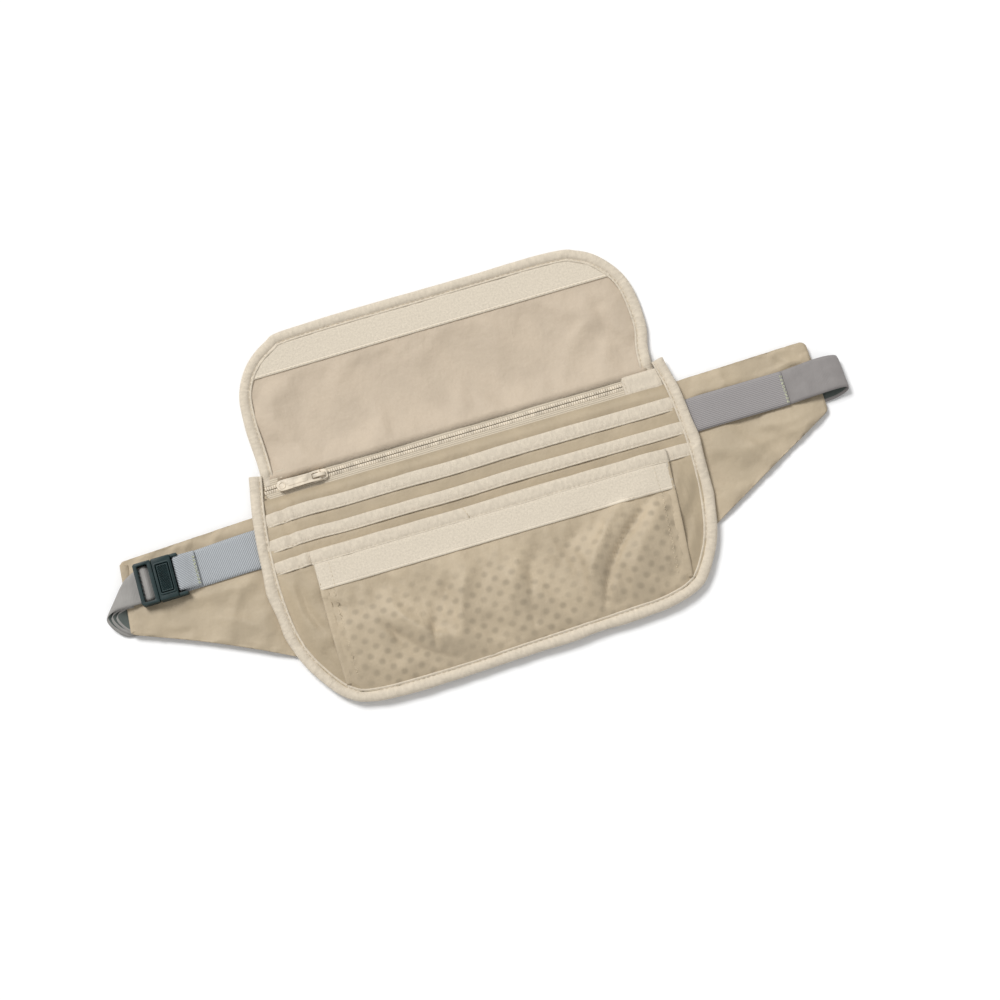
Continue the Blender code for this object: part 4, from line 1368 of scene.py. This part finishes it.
def build_left_straps():
    """The waist strap from the tongue round the left end and back under the pouch."""
    upper = [
        (-184.3, -32.0, 6.0), (-187.6, -32.0, 8.3), (-192.3, -32.8, 6.3), (-196.5, -34.8, 6.4),
        (-200.2, -37.2, 6.0), (-202.6, -40.6, 3.5), (-199.5, -45, 1.1), (-193, -47, 0.55),
        (-178, -47.6, 0.55), (-160, -47.8, 0.55),
    ]
    lower = [
        (-184.3, -51.4, 6.0), (-187.6, -51.4, 8.3), (-192.8, -51.4, 6.4), (-199, -51.4, 6.9),
        (-208, -51.4, 6.9), (-213.8, -54.4, 4.8), (-211, -61.2, 1.9), (-203, -66.6, 0.6),
        (-182, -67.0, 0.55), (-160, -67.2, 0.55),
    ]
    # The faces inside the strap's curl and its folds get the near-black painted shade.
    inner = (M["strap_curl_shade"], 0)
    strap("waist_strap_left", upper, lower, "strap", 0.95, "folded", "buckle_tongue", wave=0.1, inner=inner)
    for k, shrink in enumerate((2.6, 5.2)):
        fold_upper = [(x + shrink * smoothstep(-195, -203, x), y - 0.35 * shrink * (k + 1),
                       np.clip(z, 1.5 + 0.4 * k, 6.1 - shrink * 0.3)) for x, y, z in upper[3:8]]
        fold_lower = [(x + shrink * smoothstep(-195, -208, x), y - 0.1 * shrink,
                       np.clip(z, 1.6 + 0.5 * k, 6.5 - shrink * 0.4)) for x, y, z in lower[3:8]]
        name = f"waist_strap_fold_{k + 1}"
        obj, length = webbing(name, fold_upper, fold_lower, M["strap"], 0.8, inner=inner)
        show(obj, "buckle_tongue")

    run = ((-194, 1.8), (-170, 1.8), (-150, 1.8), (-135, 1.8), (-126, 1.8), (-118, 1.7), (-106, 1.45))
    upper = [(x, -57.4 + (x + 194) * 0.032 + STRAP_W / 2, z) for x, z in run]
    lower = [(x, y - STRAP_W, z) for x, y, z in upper]
    strap("waist_strap_left_run", upper, lower, "strap", 0.9, "laid", wing="left")
    upper = [(x, -54.8 + (x + 118) * 13.8 / 242.6 + STRAP_W / 2, 0.5) for x in np.linspace(-118, 124, 9)]
    lower = [(x, y - STRAP_W, z) for x, y, z in upper]
    strap("waist_strap_middle", upper, lower, "strap", 0.9, "laid")


# ---------------------------------------------------------------- buckle


def knurled_pad(name, cx, cy, width, height, low, top, mat):
    """A button with a grid of small raised diamonds on its face."""
    pitch, step = 1.15, 0.115
    xs, ys = (np.arange(-size / 2, size / 2 + step / 2, step) for size in (width, height))
    x, y = np.meshgrid(xs, ys)
    u, v = (x + y) / pitch, (x - y) / pitch
    diamond = np.minimum(np.abs(2 * (u - np.floor(u)) - 1), np.abs(2 * (v - np.floor(v)) - 1))
    rim = np.minimum(width / 2 - np.abs(x), height / 2 - np.abs(y))
    relief = 0.38 * smoothstep(0.5, 0.9, rim) * smoothstep(0.5, 0.1, diamond)
    z = top - relief - 0.35 * smoothstep(0.28, 0.0, rim)
    face = np.stack([x + cx, y + cy, z], -1).reshape(-1, 3)
    index = np.arange(len(face)).reshape(x.shape)
    ring = [*index[0], *index[1:, -1], *index[-1, -2::-1], *index[-2:0:-1, 0]]
    skirt = face[ring].copy()
    skirt[:, 2] = low
    start, count = len(face), len(ring)
    faces = grid_faces(*x.shape).tolist()
    faces += [[ring[i], ring[(i + 1) % count], start + (i + 1) % count, start + i] for i in range(count)]
    faces.append([start + i for i in range(count)][::-1])
    obj = new_mesh(name, np.vstack([face, skirt]), faces, mat)
    shape = bmesh.new()
    shape.from_mesh(obj.data)
    bmesh.ops.recalc_face_normals(shape, faces=shape.faces)
    shape.to_mesh(obj.data)
    shape.free()
    obj.data.set_sharp_from_angle(angle=math.radians(50))
    return outward(obj)


def build_buckle():
    """The side-release buckle: socket with its window and bar, the button in it, and the tongue."""
    y = BUCKLE_Y
    mid = -176.65
    show(joined("buckle_socket", [
        slab((mid, y, 10.7, 24, 0.8), 4.6, 6.1, "buckle", 0.3),
        slab((mid, y, 10.7, 24, 0.9), 8.75, 10.75, "buckle", 0.45, (-176.6, y, 7.2, 16.0, 0.7)),
        slab((mid, y - 10.75, 10.5, 2.3, 0.4), 5.8, 9.0, "buckle", 0),
        slab((mid, y + 10.75, 10.5, 2.3, 0.4), 5.8, 9.0, "buckle", 0),
        slab((-172.2, y, 1.7, 23, 0.3), 5.8, 9.0, "buckle", 0),
        slab((-176.6, y, 8.9, 18.2, 1.0), 10.5, 11.25, "buckle", 0.2, (-176.6, y, 7.5, 16.4, 0.8)),
        slab((-169.8, y - 11.1, 7.2, 1.75, (0.86, 0.2, 0.2, 0.86)), 5.2, 9.6, "buckle", 0.4),
        slab((-170.3, y + 11.1, 6.2, 1.75, (0.86, 0.2, 0.2, 0.86)), 5.2, 9.6, "buckle", 0.4),
        rod((-168.9, y, 7.0), 0.8, 21.8),
    ]), "left_wing", ("buckle_socket",))
    pad = knurled_pad("release_button", -176.6, y, 6.6, 15.4, 9.6, 11.2, M["buckle"])
    show(pad, "release_button", ("release_button",))
    mid = -187.35
    offsets = np.arange(-7.5, 7.6, 2.5)
    teeth = [slab((-190.3, y + off, 0.9, 1.3, 0.3), 8.2, 9.9, "buckle", 0.15) for off in offsets]
    show(joined("buckle_tongue", [
        slab((mid, y, 10.1, 24, (0.6, 1.4, 1.8, 0.6)), 7.4, 10.5, "buckle", 0.4, (-187.4, y, 6.0, 20.6, 0.9)),
        slab((mid, y - 11.2, 9.1, 1.5, 0.5), 4.9, 7.8, "buckle", 0.3),
        slab((mid, y + 11.2, 9.1, 1.5, 0.5), 4.9, 7.8, "buckle", 0.3),
        slab((-183.6, y, 2.4, 23, 0.4), 4.9, 7.8, "buckle", 0.2),
        slab((-178.6, y, 9.2, 18.0, 1.5), 6.5, 8.25, "buckle", 0.3),
        *teeth,
    ]), "buckle_tongue", ("buckle_tongue",))


def rod(centre, radius, length, sides=20):
    """A bar across the belt with chamfered ends."""
    rows = ((-0.5, 0.8), (-0.47, 1.0), (0.47, 1.0), (0.5, 0.8))
    angles = np.arange(sides) * 2 * math.pi / sides
    verts = [(radius * k * math.cos(a), t * length, radius * k * math.sin(a))
             for t, k in rows for a in angles]
    return outward(new_mesh("rod", np.add(verts, centre), tube_faces(len(rows), sides), M["buckle"]))


# ---------------------------------------------------------------- camera, floor and light

VIEW_CENTRE = (10.45, -51.3, 3.0)
PHOTO_TURN = 16.3
PHOTO_TILT = 12.0
CAMERA_REACH = 1.5
SPAN_ACROSS = 0.5465


def build_camera():
    """The camera of the photograph; gives the directions back to it, to its right and upwards."""
    data = bpy.data.cameras.new("camera")
    camera = linked(bpy.data.objects.new("camera", data))
    data.sensor_width = 36
    data.lens = 36 * CAMERA_REACH / SPAN_ACROSS
    tilt, turn = math.radians(PHOTO_TILT), math.radians(PHOTO_TURN)
    back = Vector((0, -math.sin(tilt), math.cos(tilt)))
    across = Vector((1, 0, 0))
    upward = back.cross(across)
    right = across * math.cos(turn) - upward * math.sin(turn)
    up = across * math.sin(turn) + upward * math.cos(turn)
    matrix = Matrix((right, up, back)).transposed().to_4x4()
    matrix.translation = point(*VIEW_CENTRE) + back * CAMERA_REACH
    camera.matrix_world = matrix
    bpy.context.scene.camera = camera
    return back, right, up


def build_light(back, right, up):
    """A pale floor under a soft key lamp, a weak fill lamp and a white world."""
    bpy.ops.mesh.primitive_plane_add(size=6, location=(0, 0, -0.0004))
    floor = bpy.context.object
    floor.name = "floor"
    nodes = Nodes("floor_paper", 0.9, 0.0, 0.1)
    speck = nodes.noise(nodes.place, 40, 2.0)
    nodes.colour(nodes.mix(speck, (0.93, 0.93, 0.93), (0.95, 0.95, 0.95)))
    floor.data.materials.append(nodes.mat)
    lamps = (
        ("key", back * 0.80 + up * 0.78 - right * 0.62, 24, 2.55),
        ("fill", back * 1.0 - up * 0.7 + right * 0.8, 60, 0.35),
    )
    for name, towards, spread, power in lamps:
        data = bpy.data.lights.new(name, "SUN")
        data.angle = math.radians(spread)
        data.energy = power
        obj = linked(bpy.data.objects.new(name, data))
        obj.location = towards
        obj.rotation_euler = (-towards).to_track_quat("-Z", "Y").to_euler()
    world = bpy.data.worlds.new("studio")
    bpy.context.scene.world = world
    world.use_nodes = True
    sky = world.node_tree.nodes["Background"].inputs
    sky["Color"].default_value = (1, 1, 1, 1)
    sky["Strength"].default_value = 0.46
    bpy.context.scene.view_settings.view_transform = "Standard"


build_light(*build_camera())
build_pouch()
build_mouths()
build_front_hems()
build_hook_strip()
build_edge_binding()
build_flap()
build_zip()
build_slider()
build_pull()
build_wings()
build_left_webbing()
build_right_straps()
build_left_straps()
build_buckle()
